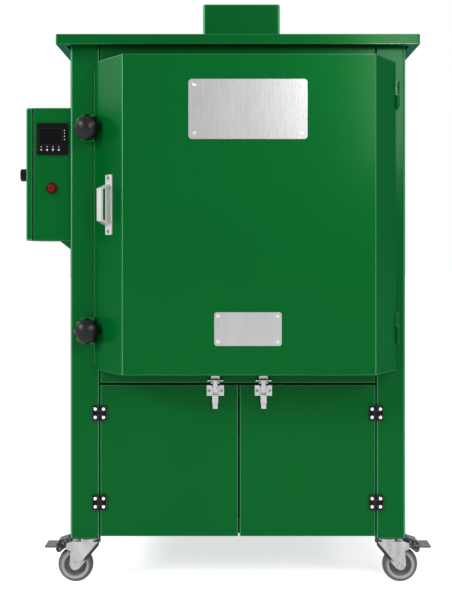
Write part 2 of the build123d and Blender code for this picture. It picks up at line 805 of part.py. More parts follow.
# Star clamps: a thrust washer and a lobed knob with its stud, for each level
washer_y = (lug_front - thrust_thickness, lug_front)
neck_y = (washer_y[0] - knob_neck, washer_y[0])
knob_y = (neck_y[0] - knob_body, neck_y[0])
stud_y = (washer_y[0], front - boss_length + stud_engagement)
scallop_place = knob_radius - scallop_depth + scallop_radius
for place, level in clamp_levels.items():
    with BuildPart() as washer:
        rod_y(clamp_x, washer_y, level, thrust_radius)
        rod_y(clamp_x, washer_y, level, stud_hole_radius, mode=Mode.SUBTRACT)
    washer.part.label = f"{place}_clamp_washer"
    export_step(washer.part, f"parts/{place}_clamp_washer.step")
    with BuildPart() as knob:
        with BuildSketch(Plane.XZ.offset(-knob_y[1])) as star:
            with Locations((clamp_x, level)):
                Circle(knob_radius)
                with PolarLocations(scallop_place, knob_lobes, start_angle=180 / knob_lobes):
                    Circle(scallop_radius, mode=Mode.SUBTRACT)
            fillet(star.vertices(), lobe_round)
        extrude(amount=knob_body)
        dome = Plane((clamp_x, knob_y[1], level), x_dir=(1, 0, 0), z_dir=(0, 0, 1))
        with BuildSketch(dome):
            with BuildLine():
                dome_points = [(knob_radius * out, -knob_body * along) for out, along in knob_dome]
                Line((0, 0), dome_points[0])
                Spline(*dome_points)
                Line(dome_points[-1], (0, 0))
            make_face()
        revolve(axis=Axis((clamp_x, knob_y[1], level), (0, 1, 0)), mode=Mode.INTERSECT)
        rod_y(clamp_x, (knob_y[1], neck_y[1]), level, knob_neck_radius)
        rod_y(clamp_x, stud_y, level, stud_radius)
    knob.part.label = f"{place}_clamp_knob"
    export_step(knob.part, f"parts/{place}_clamp_knob.step")

# Pull handle on the left chamfer: a back plate and a bent strip, in planes that follow the slope
slope = Vector(door_face_left - door_left, door_face - door_rim_front, 0)
slope_out = Vector(slope.Y, -slope.X, 0).normalized()
handle_foot = Vector(door_left, door_rim_front, handle_height) + slope * handle_place
strip_plane = Plane(origin=handle_foot, x_dir=slope_out, z_dir=slope * -1)
grip_back = handle_stand - handle_grip_thickness
with BuildPart() as door_handle:
    with BuildSketch(Plane(origin=handle_foot, x_dir=slope, z_dir=slope_out)):
        RectangleRounded(handle_plate_width, handle_plate_length, handle_plate_thickness)
    extrude(amount=handle_plate_thickness)
    with BuildSketch(strip_plane):
        with BuildLine():
            Polyline(
                (0, -handle_foot_length / 2),
                (handle_stand, -handle_grip_length / 2),
                (handle_stand, handle_grip_length / 2),
                (0, handle_foot_length / 2),
                close=True,
            )
        make_face()
        with BuildLine(mode=Mode.PRIVATE) as inner_line:
            Polyline(
                (0, -handle_foot_length / 2 + handle_grip_thickness),
                (grip_back, -handle_grip_length / 2 + handle_grip_thickness / 2),
                (grip_back, handle_grip_length / 2 - handle_grip_thickness / 2),
                (0, handle_foot_length / 2 - handle_grip_thickness),
                close=True,
            )
        make_face(inner_line.edges(), mode=Mode.SUBTRACT)
    extrude(amount=handle_grip_width / 2, both=True)
door_handle.part.label = "door_handle"
export_step(door_handle.part, "parts/door_handle.step")

# Bare name plates on the door face, and their rivets
with BuildPart() as name_plates:
    for (size_x, size_z, corner), (place_x, place_z) in zip(name_plate_sizes, name_plate_places):
        with BuildSketch(Plane.XZ.offset(-door_face)):
            with Locations((body_x + place_x, place_z)):
                RectangleRounded(size_x, size_z, corner)
        extrude(amount=plate_thickness)
name_plates.part.label = "name_plates"
export_step(name_plates.part, "parts/name_plates.step")

plate_face = door_face - plate_thickness
rivet_places = []
for size, place, inset in zip(name_plate_sizes, name_plate_places, rivet_insets):
    for side_x in (-1, 1):
        for side_z in (-1, 1):
            rivet_x = body_x + place[0] + side_x * (size[0] / 2 - inset)
            rivet_z = place[1] + side_z * (size[1] / 2 - inset)
            rivet_places.append((rivet_x, rivet_z))
with BuildPart() as plate_rivets:
    for rivet_x, rivet_z in rivet_places:
        rod_y(rivet_x, (plate_face - rivet_height, plate_face), rivet_z, rivet_radius)
    fillet(plate_rivets.edges().group_by(Axis.Y)[0], rivet_round)
    for rivet_x, rivet_z in rivet_places:
        hole_y = (plate_face - rivet_height, plate_face - rivet_height / 2)
        rod_y(rivet_x, hole_y, rivet_z, rivet_hole_radius, mode=Mode.SUBTRACT)
plate_rivets.part.label = "plate_rivets"
export_step(plate_rivets.part, "parts/plate_rivets.step")

# Control box: a folded shell open to the left, with its hinge knuckles and two welded gussets
lid_hinge_low = box_middle_z - lid_segments * lid_segment / 2
box_middle_y = middle((box_front, box_rear))
with BuildPart() as control_box:
    with BuildSketch(Plane.YZ.offset(box_left)):
        with Locations((box_middle_y, box_middle_z)):
            RectangleRounded(box_depth, box_height, box_bend_radius)
    extrude(amount=box_width)
    with BuildSketch(Plane.YZ.offset(box_left)):
        with Locations((box_middle_y, box_middle_z)):
            inside_depth = box_depth - 2 * box_sheet
            inside_height = box_height - 2 * box_sheet
            RectangleRounded(inside_depth, inside_height, box_bend_radius - box_sheet)
    extrude(amount=box_width - box_sheet, mode=Mode.SUBTRACT)
    front_wall = (box_front, box_front + box_sheet)
    case_x = (controller_x - controller_case / 2, controller_x + controller_case / 2)
    case_z = (controller_z - controller_case / 2, controller_z + controller_case / 2)
    bar(case_x, front_wall, case_z, mode=Mode.SUBTRACT)
    rod_y(pilot_x, front_wall, pilot_z, pilot_hole_radius, mode=Mode.SUBTRACT)
    rear_wall = (box_rear - box_sheet, box_rear)
    gland_hole = gland_thread_radius + gland_clearance
    rod_y(gland_x, rear_wall, gland_z, gland_hole, mode=Mode.SUBTRACT)
    rod_x((left - box_sheet, left), *cable_hole, cable_hole_radius, mode=Mode.SUBTRACT)
    for segment in range(0, lid_segments, 2):
        segment_low = lid_hinge_low + segment * lid_segment
        segment_z = (segment_low, segment_low + lid_segment - knuckle_gap)
        rod_z(lid_hinge_x, lid_hinge_y, segment_z, lid_hinge_radius)
        bar((box_left, box_left + box_sheet), (box_rear, lid_hinge_y), segment_z)
    pin_z = (lid_hinge_low, lid_hinge_low + lid_segments * lid_segment - knuckle_gap)
    rod_z(lid_hinge_x, lid_hinge_y, pin_z, lid_hinge_pin_radius)
    for gusset_y in (box_front + 2 * gusset_plate, box_rear - 3 * gusset_plate):
        with BuildSketch(Plane.XZ.offset(-gusset_y - gusset_plate)):
            with BuildLine():
                Polyline(
                    (left, box_bottom),
                    (left - gusset_width, box_bottom),
                    (left, box_bottom - gusset_height),
                    close=True,
                )
            make_face()
        extrude(amount=gusset_plate)
control_box.part.label = "control_box"
export_step(control_box.part, "parts/control_box.step")

# Lid: a shallow tray with an inner flange for its gasket
with BuildPart() as control_lid:
    with BuildSketch(Plane.YZ.offset(lid_outer)):
        with Locations((box_middle_y, box_middle_z)):
            Rectangle(box_depth, box_height)
    extrude(amount=lid_thickness)
    fillet(control_lid.edges().filter_by(Axis.X), lid_corner)
    fillet(control_lid.edges().group_by(Axis.X)[0], lid_bevel)
    hollow_y = (box_front + box_sheet, box_rear - box_sheet)
    hollow_z = (box_bottom + box_sheet, box_top - box_sheet)
    hollow_x = (lid_outer + lid_bevel, lid_inner - box_sheet)
    bar(hollow_x, hollow_y, hollow_z, mode=Mode.SUBTRACT)
    flat_y = (hollow_y[0] + lid_bevel, hollow_y[1] - lid_bevel)
    flat_z = (hollow_z[0] + lid_bevel, hollow_z[1] - lid_bevel)
    bar((lid_outer + box_sheet, lid_outer + lid_bevel), flat_y, flat_z, mode=Mode.SUBTRACT)
    window_y = (box_front + gasket_width / 2, box_rear - gasket_width / 2)
    window_z = (box_bottom + gasket_width / 2, box_top - gasket_width / 2)
    bar((lid_inner - box_sheet, lid_inner), window_y, window_z, mode=Mode.SUBTRACT)
    lid_skin = (lid_outer, lid_outer + box_sheet)
    rod_x(lid_skin, switch_y, switch_z, switch_hole_radius, mode=Mode.SUBTRACT)
    for segment in range(1, lid_segments, 2):
        segment_low = lid_hinge_low + segment * lid_segment
        segment_z = (segment_low, segment_low + lid_segment - knuckle_gap)
        rod_z(lid_hinge_x, lid_hinge_y, segment_z, lid_hinge_radius)
        web_y = (lid_hinge_y - box_sheet / 2, lid_hinge_y + box_sheet / 2)
        bar((lid_inner - box_sheet, lid_hinge_x), web_y, segment_z)
        bar((lid_inner - box_sheet, lid_inner), (box_rear, web_y[1]), segment_z)
        bore = lid_hinge_pin_radius + shaft_clearance
        rod_z(lid_hinge_x, lid_hinge_y, segment_z, bore, mode=Mode.SUBTRACT)
control_lid.part.label = "control_lid"
export_step(control_lid.part, "parts/control_lid.step")

with BuildPart() as lid_gasket:
    seal_y = (box_front + box_sheet / 2, box_rear - box_sheet / 2)
    seal_z = (box_bottom + box_sheet / 2, box_top - box_sheet / 2)
    bar((lid_inner, box_left), seal_y, seal_z)
    seal_window_y = (seal_y[0] + gasket_width / 2, seal_y[1] - gasket_width / 2)
    seal_window_z = (seal_z[0] + gasket_width / 2, seal_z[1] - gasket_width / 2)
    bar((lid_inner, box_left), seal_window_y, seal_window_z, mode=Mode.SUBTRACT)
lid_gasket.part.label = "lid_gasket"
export_step(lid_gasket.part, "parts/lid_gasket.step")

# Temperature controller: a square bezel with a recessed window, and its case behind the panel
with BuildPart() as temperature_controller:
    bezel_x = (controller_x - controller_width / 2, controller_x + controller_width / 2)
    bezel_z = (controller_z - controller_height / 2, controller_z + controller_height / 2)
    bar(bezel_x, (box_front - controller_bezel, box_front), bezel_z)
    fillet(temperature_controller.edges().group_by(Axis.Y)[0], controller_round)
    screen_x = (bezel_x[0] + window_inset, bezel_x[1] - 2 * window_inset)
    screen_z = (controller_z - window_below_middle, bezel_z[1] - 2 * window_inset)
    screen_y = (box_front - controller_bezel, box_front - controller_bezel + window_depth)
    bar(screen_x, screen_y, screen_z, mode=Mode.SUBTRACT)
    bar(case_x, (box_front, box_front + controller_case_depth), case_z)
temperature_controller.part.label = "temperature_controller"
export_step(temperature_controller.part, "parts/temperature_controller.step")

# Pilot lamp: bezel, domed lens and the neck through the panel
with BuildPart() as pilot_lamp:
    bezel_y = (box_front - pilot_bezel, box_front)
    rod_y(pilot_x, bezel_y, pilot_z, pilot_bezel_radius)
    fillet(pilot_lamp.edges().group_by(Axis.Y)[0], pilot_round)
    rod_y(pilot_x, (bezel_y[0] - pilot_lens, bezel_y[0]), pilot_z, pilot_lens_radius)
    fillet(pilot_lamp.edges().group_by(Axis.Y)[0], lens_round)
    rod_y(pilot_x, (box_front, box_front + pilot_neck), pilot_z, pilot_neck_radius)
pilot_lamp.part.label = "pilot_lamp"
export_step(pilot_lamp.part, "parts/pilot_lamp.step")

# Mounting board with a rail, and the switchgear clipped on it
board_x = (left - box_sheet - board_thickness, left - box_sheet)
board_y = (box_front + board_inset, box_rear - board_inset)
board_z = (box_bottom + board_inset, box_top - board_inset)
rail_x = (board_x[0] - rail_depth, board_x[0])
with BuildPart() as mounting_board:
    bar(board_x, board_y, board_z)
    bar(rail_x, board_y, rail_z)
    rod_x(board_x, *cable_hole, cable_hole_radius, mode=Mode.SUBTRACT)
mounting_board.part.label = "mounting_board"
export_step(mounting_board.part, "parts/mounting_board.step")

gear_start = box_front + gear_setback
with BuildPart() as switchgear:
    for place in range(2):
        gear_y = (gear_start + place * gear_pitch, gear_start + place * gear_pitch + gear_width)
        gear_z = (middle(rail_z) - gear_height / 2, middle(rail_z) + gear_height / 2)
        bar((rail_x[0] - gear_depth, rail_x[0]), gear_y, gear_z)
        cap_y = (gear_y[0] + gear_cap, gear_y[1] - gear_cap)
        cap_z = (gear_z[0] + gear_cap_inset, gear_z[1] - gear_cap_inset)
        bar((rail_x[0] - gear_depth - gear_cap, rail_x[0] - gear_depth), cap_y, cap_z)
    terminal_z = (rail_z[0] - terminal_overhang, rail_z[1] + terminal_overhang)
    for place in range(terminal_slices):
        terminal_y = gear_start + 2 * gear_pitch + place * terminal_pitch
        slice_y = (terminal_y, terminal_y + terminal_width)
        bar((rail_x[0] - terminal_depth, rail_x[0]), slice_y, terminal_z)
switchgear.part.label = "switchgear"
export_step(switchgear.part, "parts/switchgear.step")

# Supply gland on the rear wall of the box, with a clear bore for a lead
with BuildPart() as supply_gland:
    hex_y = (box_rear, box_rear + gland_flange)
    for low, high in (hex_y, (box_rear - box_sheet - gland_flange, box_rear - box_sheet)):
        with BuildSketch(Plane.XZ.offset(-high)):
            with Locations((gland_x, gland_z)):
                RegularPolygon(gland_hex_radius, 6)
        extrude(amount=high - low)
    dome_y = (hex_y[1], hex_y[1] + gland_dome)
    rod_y(gland_x, dome_y, gland_z, gland_dome_radius)
    fillet(supply_gland.edges().group_by(Axis.Y)[-1], gland_round)
    rod_y(gland_x, (box_rear - box_sheet - gland_inside, hex_y[1]), gland_z, gland_thread_radius)
    bore_y = (box_rear - box_sheet - gland_inside, dome_y[1])
    rod_y(gland_x, bore_y, gland_z, gland_bore_radius, mode=Mode.SUBTRACT)
supply_gland.part.label = "supply_gland"
export_step(supply_gland.part, "parts/supply_gland.step")

# Rotary switch in the lid, and its knob
with BuildPart() as switch_body:
    plate_span_y = (switch_y - switch_plate / 2, switch_y + switch_plate / 2)
    plate_span_z = (switch_z - switch_plate / 2, switch_z + switch_plate / 2)
    bar((lid_outer - switch_plate_thickness, lid_outer), plate_span_y, plate_span_z)
    fillet(switch_body.edges().filter_by(Axis.X), switch_plate_thickness)
    rod_x(lid_skin, switch_y, switch_z, switch_neck_radius)
    case_span_y = (switch_y - switch_case / 2, switch_y + switch_case / 2)
    case_span_z = (switch_z - switch_case / 2, switch_z + switch_case / 2)
    bar((lid_skin[1], lid_skin[1] + switch_case_depth), case_span_y, case_span_z)
    shaft_bore = (lid_outer - switch_plate_thickness, lid_outer + switch_shaft_length)
    rod_x(shaft_bore, switch_y, switch_z, switch_shaft_radius + shaft_clearance, mode=Mode.SUBTRACT)
switch_body.part.label = "switch_body"
export_step(switch_body.part, "parts/switch_body.step")

with BuildPart() as switch_knob:
    knob_seat = lid_outer - switch_plate_thickness - gasket_gap
    knob_span = (knob_seat - switch_knob_height, knob_seat)
    skirt = (knob_seat - switch_skirt, knob_seat)
    rod_x(skirt, switch_y, switch_z, switch_knob_radius)
    rod_x(knob_span, switch_y, switch_z, switch_knob_radius - switch_round)
    fillet(switch_knob.edges().group_by(Axis.X)[0], switch_round)
    shaft_reach = (knob_seat, lid_outer + switch_shaft_length - switch_round)
    rod_x(shaft_reach, switch_y, switch_z, switch_shaft_radius)
switch_knob.part.label = "switch_knob"
export_step(switch_knob.part, "parts/switch_knob.step")

# Cabinet doors: folded pans that hang between the posts under the header
cabinet_split = body_x + cabinet_middle_offset
cabinet_spans = {
    "left": (panel_x[0], cabinet_split - cabinet_middle_gap / 2),
    "right": (cabinet_split + cabinet_middle_gap / 2, panel_x[1]),
}
cabinet_z = (cabinet_door_bottom, cabinet_door_top)
for name, span in cabinet_spans.items():
    with BuildPart() as cabinet_door:
        bar(span, (front, front + sheet + door_fold), cabinet_z)
        fillet(cabinet_door.edges().filter_by(Axis.Z).group_by(Axis.Y)[0], sheet)
        pan_x = (span[0] + sheet, span[1] - sheet)
        pan_z = (cabinet_z[0] + sheet, cabinet_z[1] - sheet)
        bar(pan_x, (front + sheet, front + sheet + door_fold), pan_z, mode=Mode.SUBTRACT)
    cabinet_door.part.label = f"{name}_cabinet_door"
    export_step(cabinet_door.part, f"parts/{name}_cabinet_door.step")

# Black cabinet hinges: the frame halves have the pins, the door halves the middle knuckle
hinge_y = front - hinge_barrel_radius
hinge_lines = {"left": panel_x[0] - panel_gap / 2, "right": panel_x[1] + panel_gap / 2}
hinge_reach = hinge_barrel_radius + hinge_running_gap
tongue_y = (hinge_y - hinge_tongue / 2, hinge_y + hinge_tongue / 2)


def knuckle_spans(level):
    """The lower, middle and upper stretch of one barrel."""
    low = level - hinge_height / 2
    third = hinge_height / 3
    edges = [low + third * step for step in range(4)]
    return [(edges[step], edges[step + 1] - hinge_running_gap) for step in range(3)]


with BuildPart() as frame_hinge_leaves:
    for name, axis_x in hinge_lines.items():
        away = -1 if name == "left" else 1
        leaf_x = sorted((axis_x + away * hinge_reach, axis_x + away * (hinge_reach + hinge_leaf)))
        tongue_x = sorted((axis_x, axis_x + away * hinge_reach))
        for level in hinge_levels:
            leaf_z = (level - hinge_height / 2, level + hinge_height / 2)
            bar(leaf_x, (front - hinge_leaf_thickness, front), leaf_z)
            spans = knuckle_spans(level)
            for span in (spans[0], spans[2]):
                rod_z(axis_x, hinge_y, span, hinge_barrel_radius)
                bar(tongue_x, tongue_y, span)
            rod_z(axis_x, hinge_y, (spans[0][0], spans[2][1]), pivot_radius)
frame_hinge_leaves.part.label = "frame_hinge_leaves"
export_step(frame_hinge_leaves.part, "parts/frame_hinge_leaves.step")

for name, axis_x in hinge_lines.items():
    toward = 1 if name == "left" else -1
    with BuildPart() as door_leaves:
        leaf_x = sorted((axis_x + toward * hinge_reach, axis_x + toward * (hinge_reach + hinge_leaf)))
        tongue_x = sorted((axis_x, axis_x + toward * hinge_reach))
        for level in hinge_levels:
            leaf_z = (level - hinge_height / 2, level + hinge_height / 2)
            bar(leaf_x, (front - hinge_leaf_thickness, front), leaf_z)
            span = knuckle_spans(level)[1]
            rod_z(axis_x, hinge_y, span, hinge_barrel_radius)
            bar(tongue_x, tongue_y, span)
            rod_z(axis_x, hinge_y, span, pivot_radius + pivot_clearance, mode=Mode.SUBTRACT)
    door_leaves.part.label = f"{name}_hinge_leaves"
    export_step(door_leaves.part, f"parts/{name}_hinge_leaves.step")

# Toggle latches: base, lever and bolt for each door, and the keepers on the header
lever_pivot_y = front - latch_pivot_stand
bolt_pivot_y = front - latch_bolt_stand
bolt_pivot_z = latch_pivot_height - latch_bolt_drop
lever_low = latch_pivot_height - lever_length
cheek_out = lever_width / 2
cheek_in = cheek_out - lever_sheet
ear_in = cheek_out + hinge_running_gap
ear_out = ear_in + ear_sheet
lever_front = bolt_pivot_y - lever_stand
wall_top = bolt_pivot_z - lever_wall_drop
for name, place in zip(("left", "right"), latch_places):
    latch_x = body_x + place
    with BuildPart() as latch_base:
        plate_span = (latch_x - latch_plate_width / 2, latch_x + latch_plate_width / 2)
        plate_span_z = (cabinet_door_top - latch_plate_height, cabinet_door_top)
        bar(plate_span, (front - latch_plate_thickness, front), plate_span_z)
        for side in (-1, 1):
            ear_x = sorted((latch_x + side * ear_in, latch_x + side * ear_out))
            ear_y = (lever_pivot_y - 2 * pivot_radius, front)
            ear_z = (latch_pivot_height - ear_drop, cabinet_door_top)
            bar(ear_x, ear_y, ear_z)
            pin_x = sorted((latch_x + side * cheek_in, latch_x + side * ear_out))
            rod_x(pin_x, lever_pivot_y, latch_pivot_height, pivot_radius)
    latch_base.part.label = f"{name}_latch_base"
    export_step(latch_base.part, f"parts/{name}_latch_base.step")
    with BuildPart() as latch_lever:
        for side in (-1, 1):
            cheek_x = sorted((latch_x + side * cheek_in, latch_x + side * cheek_out))
            cheek_y = (lever_front, lever_pivot_y + lever_margin)
            cheek_z = (lever_low + lever_tab, latch_pivot_height + lever_margin)
            bar(cheek_x, cheek_y, cheek_z)
        lever_x = (latch_x - cheek_out, latch_x + cheek_out)
        tab_top = lever_low + lever_tab
        bar(lever_x, (lever_front - lever_sheet, lever_front), (tab_top, wall_top))
        tab_x = (latch_x - lever_tip_width / 2, latch_x + lever_tip_width / 2)
        bar(tab_x, (lever_front - 2 * lever_sheet, lever_front - lever_sheet), (lever_low, tab_top))
        bar(tab_x, (lever_front - 2 * lever_sheet, lever_front), (tab_top - lever_sheet, tab_top))
        pivot_bore = pivot_radius + pivot_clearance
        rod_x(lever_x, lever_pivot_y, latch_pivot_height, pivot_bore, mode=Mode.SUBTRACT)
        rod_x(lever_x, bolt_pivot_y, bolt_pivot_z, pivot_bore, mode=Mode.SUBTRACT)
    latch_lever.part.label = f"{name}_latch_lever"
    export_step(latch_lever.part, f"parts/{name}_latch_lever.step")
    with BuildPart() as latch_bolt:
        shank_x = (latch_x - bolt_shank_width / 2, latch_x + bolt_shank_width / 2)
        shank_y = (bolt_pivot_y - bolt_shank_thickness / 2, bolt_pivot_y + bolt_shank_thickness / 2)
        bar(shank_x, shank_y, (bolt_pivot_z - bolt_eye, bolt_bar_height))
        rod_x((latch_x - cheek_out, latch_x + cheek_out), bolt_pivot_y, bolt_pivot_z, pivot_radius)
        ball_reach = bolt_bar_width / 2 - bolt_ball_radius
        bolt_bar_x = (latch_x - ball_reach, latch_x + ball_reach)
        rod_x(bolt_bar_x, bolt_pivot_y, bolt_bar_height, bolt_bar_radius)
        for side in (-1, 1):
            with Locations((latch_x + side * ball_reach, bolt_pivot_y, bolt_bar_height)):
                Sphere(bolt_ball_radius, rotation=(0, 90, 0))
    latch_bolt.part.label = f"{name}_latch_bolt"
    export_step(latch_bolt.part, f"parts/{name}_latch_bolt.step")

with BuildPart() as latch_keepers:
    prong_in = bolt_shank_width / 2 + keeper_prong_gap
    prong_out = prong_in + keeper_prong_width
    ledge_top = bolt_bar_height - bolt_bar_radius - hinge_running_gap
    keeper_z = (header_bottom + keeper_gap, header_bottom + keeper_rise)
    for place in latch_places:
        latch_x = body_x + place
        bar((latch_x - prong_out, latch_x + prong_out), (front - sheet, front), keeper_z)
        for side in (-1, 1):
            prong_x = sorted((latch_x + side * prong_in, latch_x + side * prong_out))
            ledge_z = (ledge_top - keeper_ledge, ledge_top)
            bar(prong_x, (front - keeper_reach, front - sheet), ledge_z)
            rise_y = (front - keeper_rise_reach, front - sheet)
            bar(prong_x, rise_y, (ledge_top, keeper_z[1]))
latch_keepers.part.label = "latch_keepers"
export_step(latch_keepers.part, "parts/latch_keepers.step")

# Casters. Fixed halves: a plate, the upper race and the king pin of each
plate_low_z = body_bottom - caster_plate_thickness
crown_low = fork_top - fork_sheet
race_split = plate_low_z - race_height / 2
with BuildPart() as caster_plates:
    for pad_x in caster_columns.values():
        for pad_y in caster_rows.values():
            span_x = (pad_x - caster_plate_x / 2, pad_x + caster_plate_x / 2)
            span_y = (pad_y - caster_plate_y / 2, pad_y + caster_plate_y / 2)
            bar(span_x, span_y, (plate_low_z, body_bottom))
            rod_z(pad_x, pad_y, (race_split, plate_low_z), race_radius)
            rod_z(pad_x, pad_y, (crown_low - pad_thickness, race_split), king_pin_radius)
            head_z = (crown_low - pad_thickness, crown_low - gasket_gap)
            rod_z(pad_x, pad_y, head_z, king_nut_radius)
caster_plates.part.label = "caster_plates"
export_step(caster_plates.part, "parts/caster_plates.step")

# Turning halves: fork with its axle, wheel, and on the front pair a brake pedal
hub_half = fork_inner_width / 2 - hub_side_gap
web_half = wheel_width / 2 - web_inset
half_fork = fork_inner_width / 2 + fork_sheet
wheel_outline = (  # radius and half width, from the bore out to the tread
    (axle_radius + wheel_clearance, hub_half),
    (hub_boss_radius, hub_half),
    (hub_boss_radius, web_half + web_flare),
    (web_radius, web_half),
    (hub_radius, wheel_width / 2 - hub_inset),
    (wheel_radius - tread_start, wheel_width / 2 - tread_inset),
    (wheel_radius - tread_shoulder, wheel_width / 2),
)
for row, pad_y in caster_rows.items():
    for column, pad_x in caster_columns.items():
        out = -1 if column == "left" else 1
        axle_x = pad_x + out * fork_trail
        with BuildPart() as fork:
            crown_x = sorted((pad_x - out * crown_back, pad_x + out * crown_front))
            bar(crown_x, (pad_y - half_fork, pad_y + half_fork), (crown_low, fork_top))
            rod_z(pad_x, pad_y, (fork_top, race_split - gasket_gap), race_radius)
            ear = leg_ear if row == "front" else ()
            ear_points = [(pad_x + out * reach, height) for reach, height in ear]
            for leg_y in (pad_y - half_fork, pad_y + half_fork - fork_sheet):
                with BuildSketch(Plane.XZ.offset(-leg_y - fork_sheet)):
                    with BuildLine():
                        Polyline(
                            (pad_x + out * crown_front, fork_top),
                            (pad_x - out * crown_back, fork_top),
                            (pad_x - out * crown_back, leg_back_height),
                            (pad_x + out * leg_foot[0], leg_foot[1]),
                            (pad_x + out * leg_front[0], leg_front[1]),
                            *ear_points,
                            close=True,
                        )
                    make_face()
                    with Locations((axle_x, wheel_radius)):
                        Circle(axle_eye_radius)
                extrude(amount=fork_sheet)
            pin_bore = king_pin_radius + shaft_clearance
            rod_z(pad_x, pad_y, (crown_low, race_split), pin_bore, mode=Mode.SUBTRACT)
            rod_y(axle_x, (pad_y - half_fork, pad_y + half_fork), wheel_radius, axle_radius)
            for head in (-1, 1):
                head_y = sorted((pad_y + head * half_fork, pad_y + head * (half_fork + axle_head)))
                rod_y(axle_x, head_y, wheel_radius, axle_head_radius)
            if row == "front":
                pin_span = (pad_y - half_fork, pad_y + half_fork)
                pin_x = pad_x + out * pedal_pivot[0]
                rod_y(pin_x, pin_span, pedal_pivot[1], pedal_pin_radius)
        fork.part.label = f"{row}_{column}_fork"
        export_step(fork.part, f"parts/{row}_{column}_fork.step")
        with BuildPart() as wheel:
            axle_middle = (axle_x, pad_y, wheel_radius)
            with BuildSketch(Plane(axle_middle, x_dir=(1, 0, 0), z_dir=(0, 0, 1))):
                with BuildLine():
                    near = [(radius, -depth) for radius, depth in wheel_outline]
                    far = [(radius, depth) for radius, depth in reversed(wheel_outline)]
                    Polyline(*near)
                    ThreePointArc(near[-1], (wheel_radius, 0), far[0])
                    Polyline(*far)
                    Line(far[-1], near[0])
                make_face()
            revolve(axis=Axis(axle_middle, (0, 1, 0)))
        wheel.part.label = f"{row}_{column}_wheel"
        export_step(wheel.part, f"parts/{row}_{column}_wheel.step")
        if row == "front":
            pedal_half = fork_inner_width / 2 - pedal_side_gap
            pedal_x = pad_x + out * pedal_pivot[0]
            pedal_root_x = pad_x + out * pedal_root[0]
            body_points = [(pad_x + out * reach, height) for reach, height in pedal_outline]
            tread_points = [(pad_x + out * reach, height) for reach, height in tread_outline]
            with BuildPart() as pedal:
                with BuildSketch(Plane.XZ.offset(-pad_y - pedal_half)):
                    with BuildLine():
                        Polyline(*body_points, close=True)
                    make_face()
                    with BuildLine():
                        Polyline(
                            (pedal_root_x, pedal_neck_top),
                            (pedal_root_x, pedal_root[1]),
                            (pedal_x, pedal_pivot[1] - pedal_eye_radius),
                            (pedal_x, pedal_pivot[1] + pedal_eye_radius),
                            close=True,
                        )
                    make_face()
                    with Locations((pedal_x, pedal_pivot[1])):
                        Circle(pedal_eye_radius)
                extrude(amount=2 * pedal_half)
                with BuildSketch(Plane.XZ.offset(-pad_y - tread_half)):
                    with BuildLine():
                        Polyline(*tread_points, close=True)
                    make_face()
                extrude(amount=2 * tread_half)
                pin_y = (pad_y - pedal_half, pad_y + pedal_half)
                pin_bore = pedal_pin_radius + pivot_clearance
                rod_y(pedal_x, pin_y, pedal_pivot[1], pin_bore, mode=Mode.SUBTRACT)
            pedal.part.label = f"front_{column}_brake_pedal"
            export_step(pedal.part, f"parts/front_{column}_brake_pedal.step")
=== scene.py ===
"""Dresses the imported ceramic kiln: enamel, metals, bricks and plastics on the frame's own pieces, its
small fasteners, wound heating coils and star knobs, and a plain studio stage around it."""

from math import pi, radians

import bmesh
import bpy
from bpy.props import FloatProperty, FloatVectorProperty, PointerProperty
from mathutils import Matrix, Vector


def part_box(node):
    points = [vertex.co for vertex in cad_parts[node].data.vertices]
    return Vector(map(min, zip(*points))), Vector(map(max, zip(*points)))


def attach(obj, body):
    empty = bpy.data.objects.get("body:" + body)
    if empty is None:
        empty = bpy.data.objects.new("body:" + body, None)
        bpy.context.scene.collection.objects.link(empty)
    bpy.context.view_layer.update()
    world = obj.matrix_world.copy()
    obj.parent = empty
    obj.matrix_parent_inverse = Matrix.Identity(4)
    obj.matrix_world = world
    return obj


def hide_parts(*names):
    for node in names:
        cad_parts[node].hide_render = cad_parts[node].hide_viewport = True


bl_info = {
    "name": "Ceramic kiln looks",
    "version": (1, 0, 0),
    "blender": (4, 5, 0),
    "location": "View3D > Sidebar > Kiln",
    "description": "Finishes, fasteners, heating coils and stage for a front-loading ceramic kiln",
    "category": "Object",
}

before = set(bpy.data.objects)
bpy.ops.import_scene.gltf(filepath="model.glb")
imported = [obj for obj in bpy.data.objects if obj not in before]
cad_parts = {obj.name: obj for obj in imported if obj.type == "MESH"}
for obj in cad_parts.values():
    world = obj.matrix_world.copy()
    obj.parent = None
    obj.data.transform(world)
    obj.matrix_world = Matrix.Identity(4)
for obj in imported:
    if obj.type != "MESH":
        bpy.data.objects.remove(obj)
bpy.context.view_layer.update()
FRONT = Vector((0, -1, 0))
REAR = Vector((0, 1, 0))
DOWN = Vector((0, 0, -1))
# Turns what faces up so that it faces the front.
FACE_FRONT = Matrix.Rotation(pi / 2, 4, "X")


def colour(name, default, description):
    """A colour setting."""
    return FloatVectorProperty(
        name=name, description=description, default=default, size=3, min=0, max=1, subtype="COLOR"
    )


def length(name, default, description):
    """A length setting in metres."""
    return FloatProperty(
        name=name, description=description, default=default, min=0, unit="LENGTH", precision=4
    )


def fraction(name, default, description):
    """A setting between nought and one."""
    return FloatProperty(name=name, description=description, default=default, min=0, max=1)


def amount(name, default, description, least=0):
    """A setting with a lower limit alone."""
    return FloatProperty(name=name, description=description, default=default, min=least)


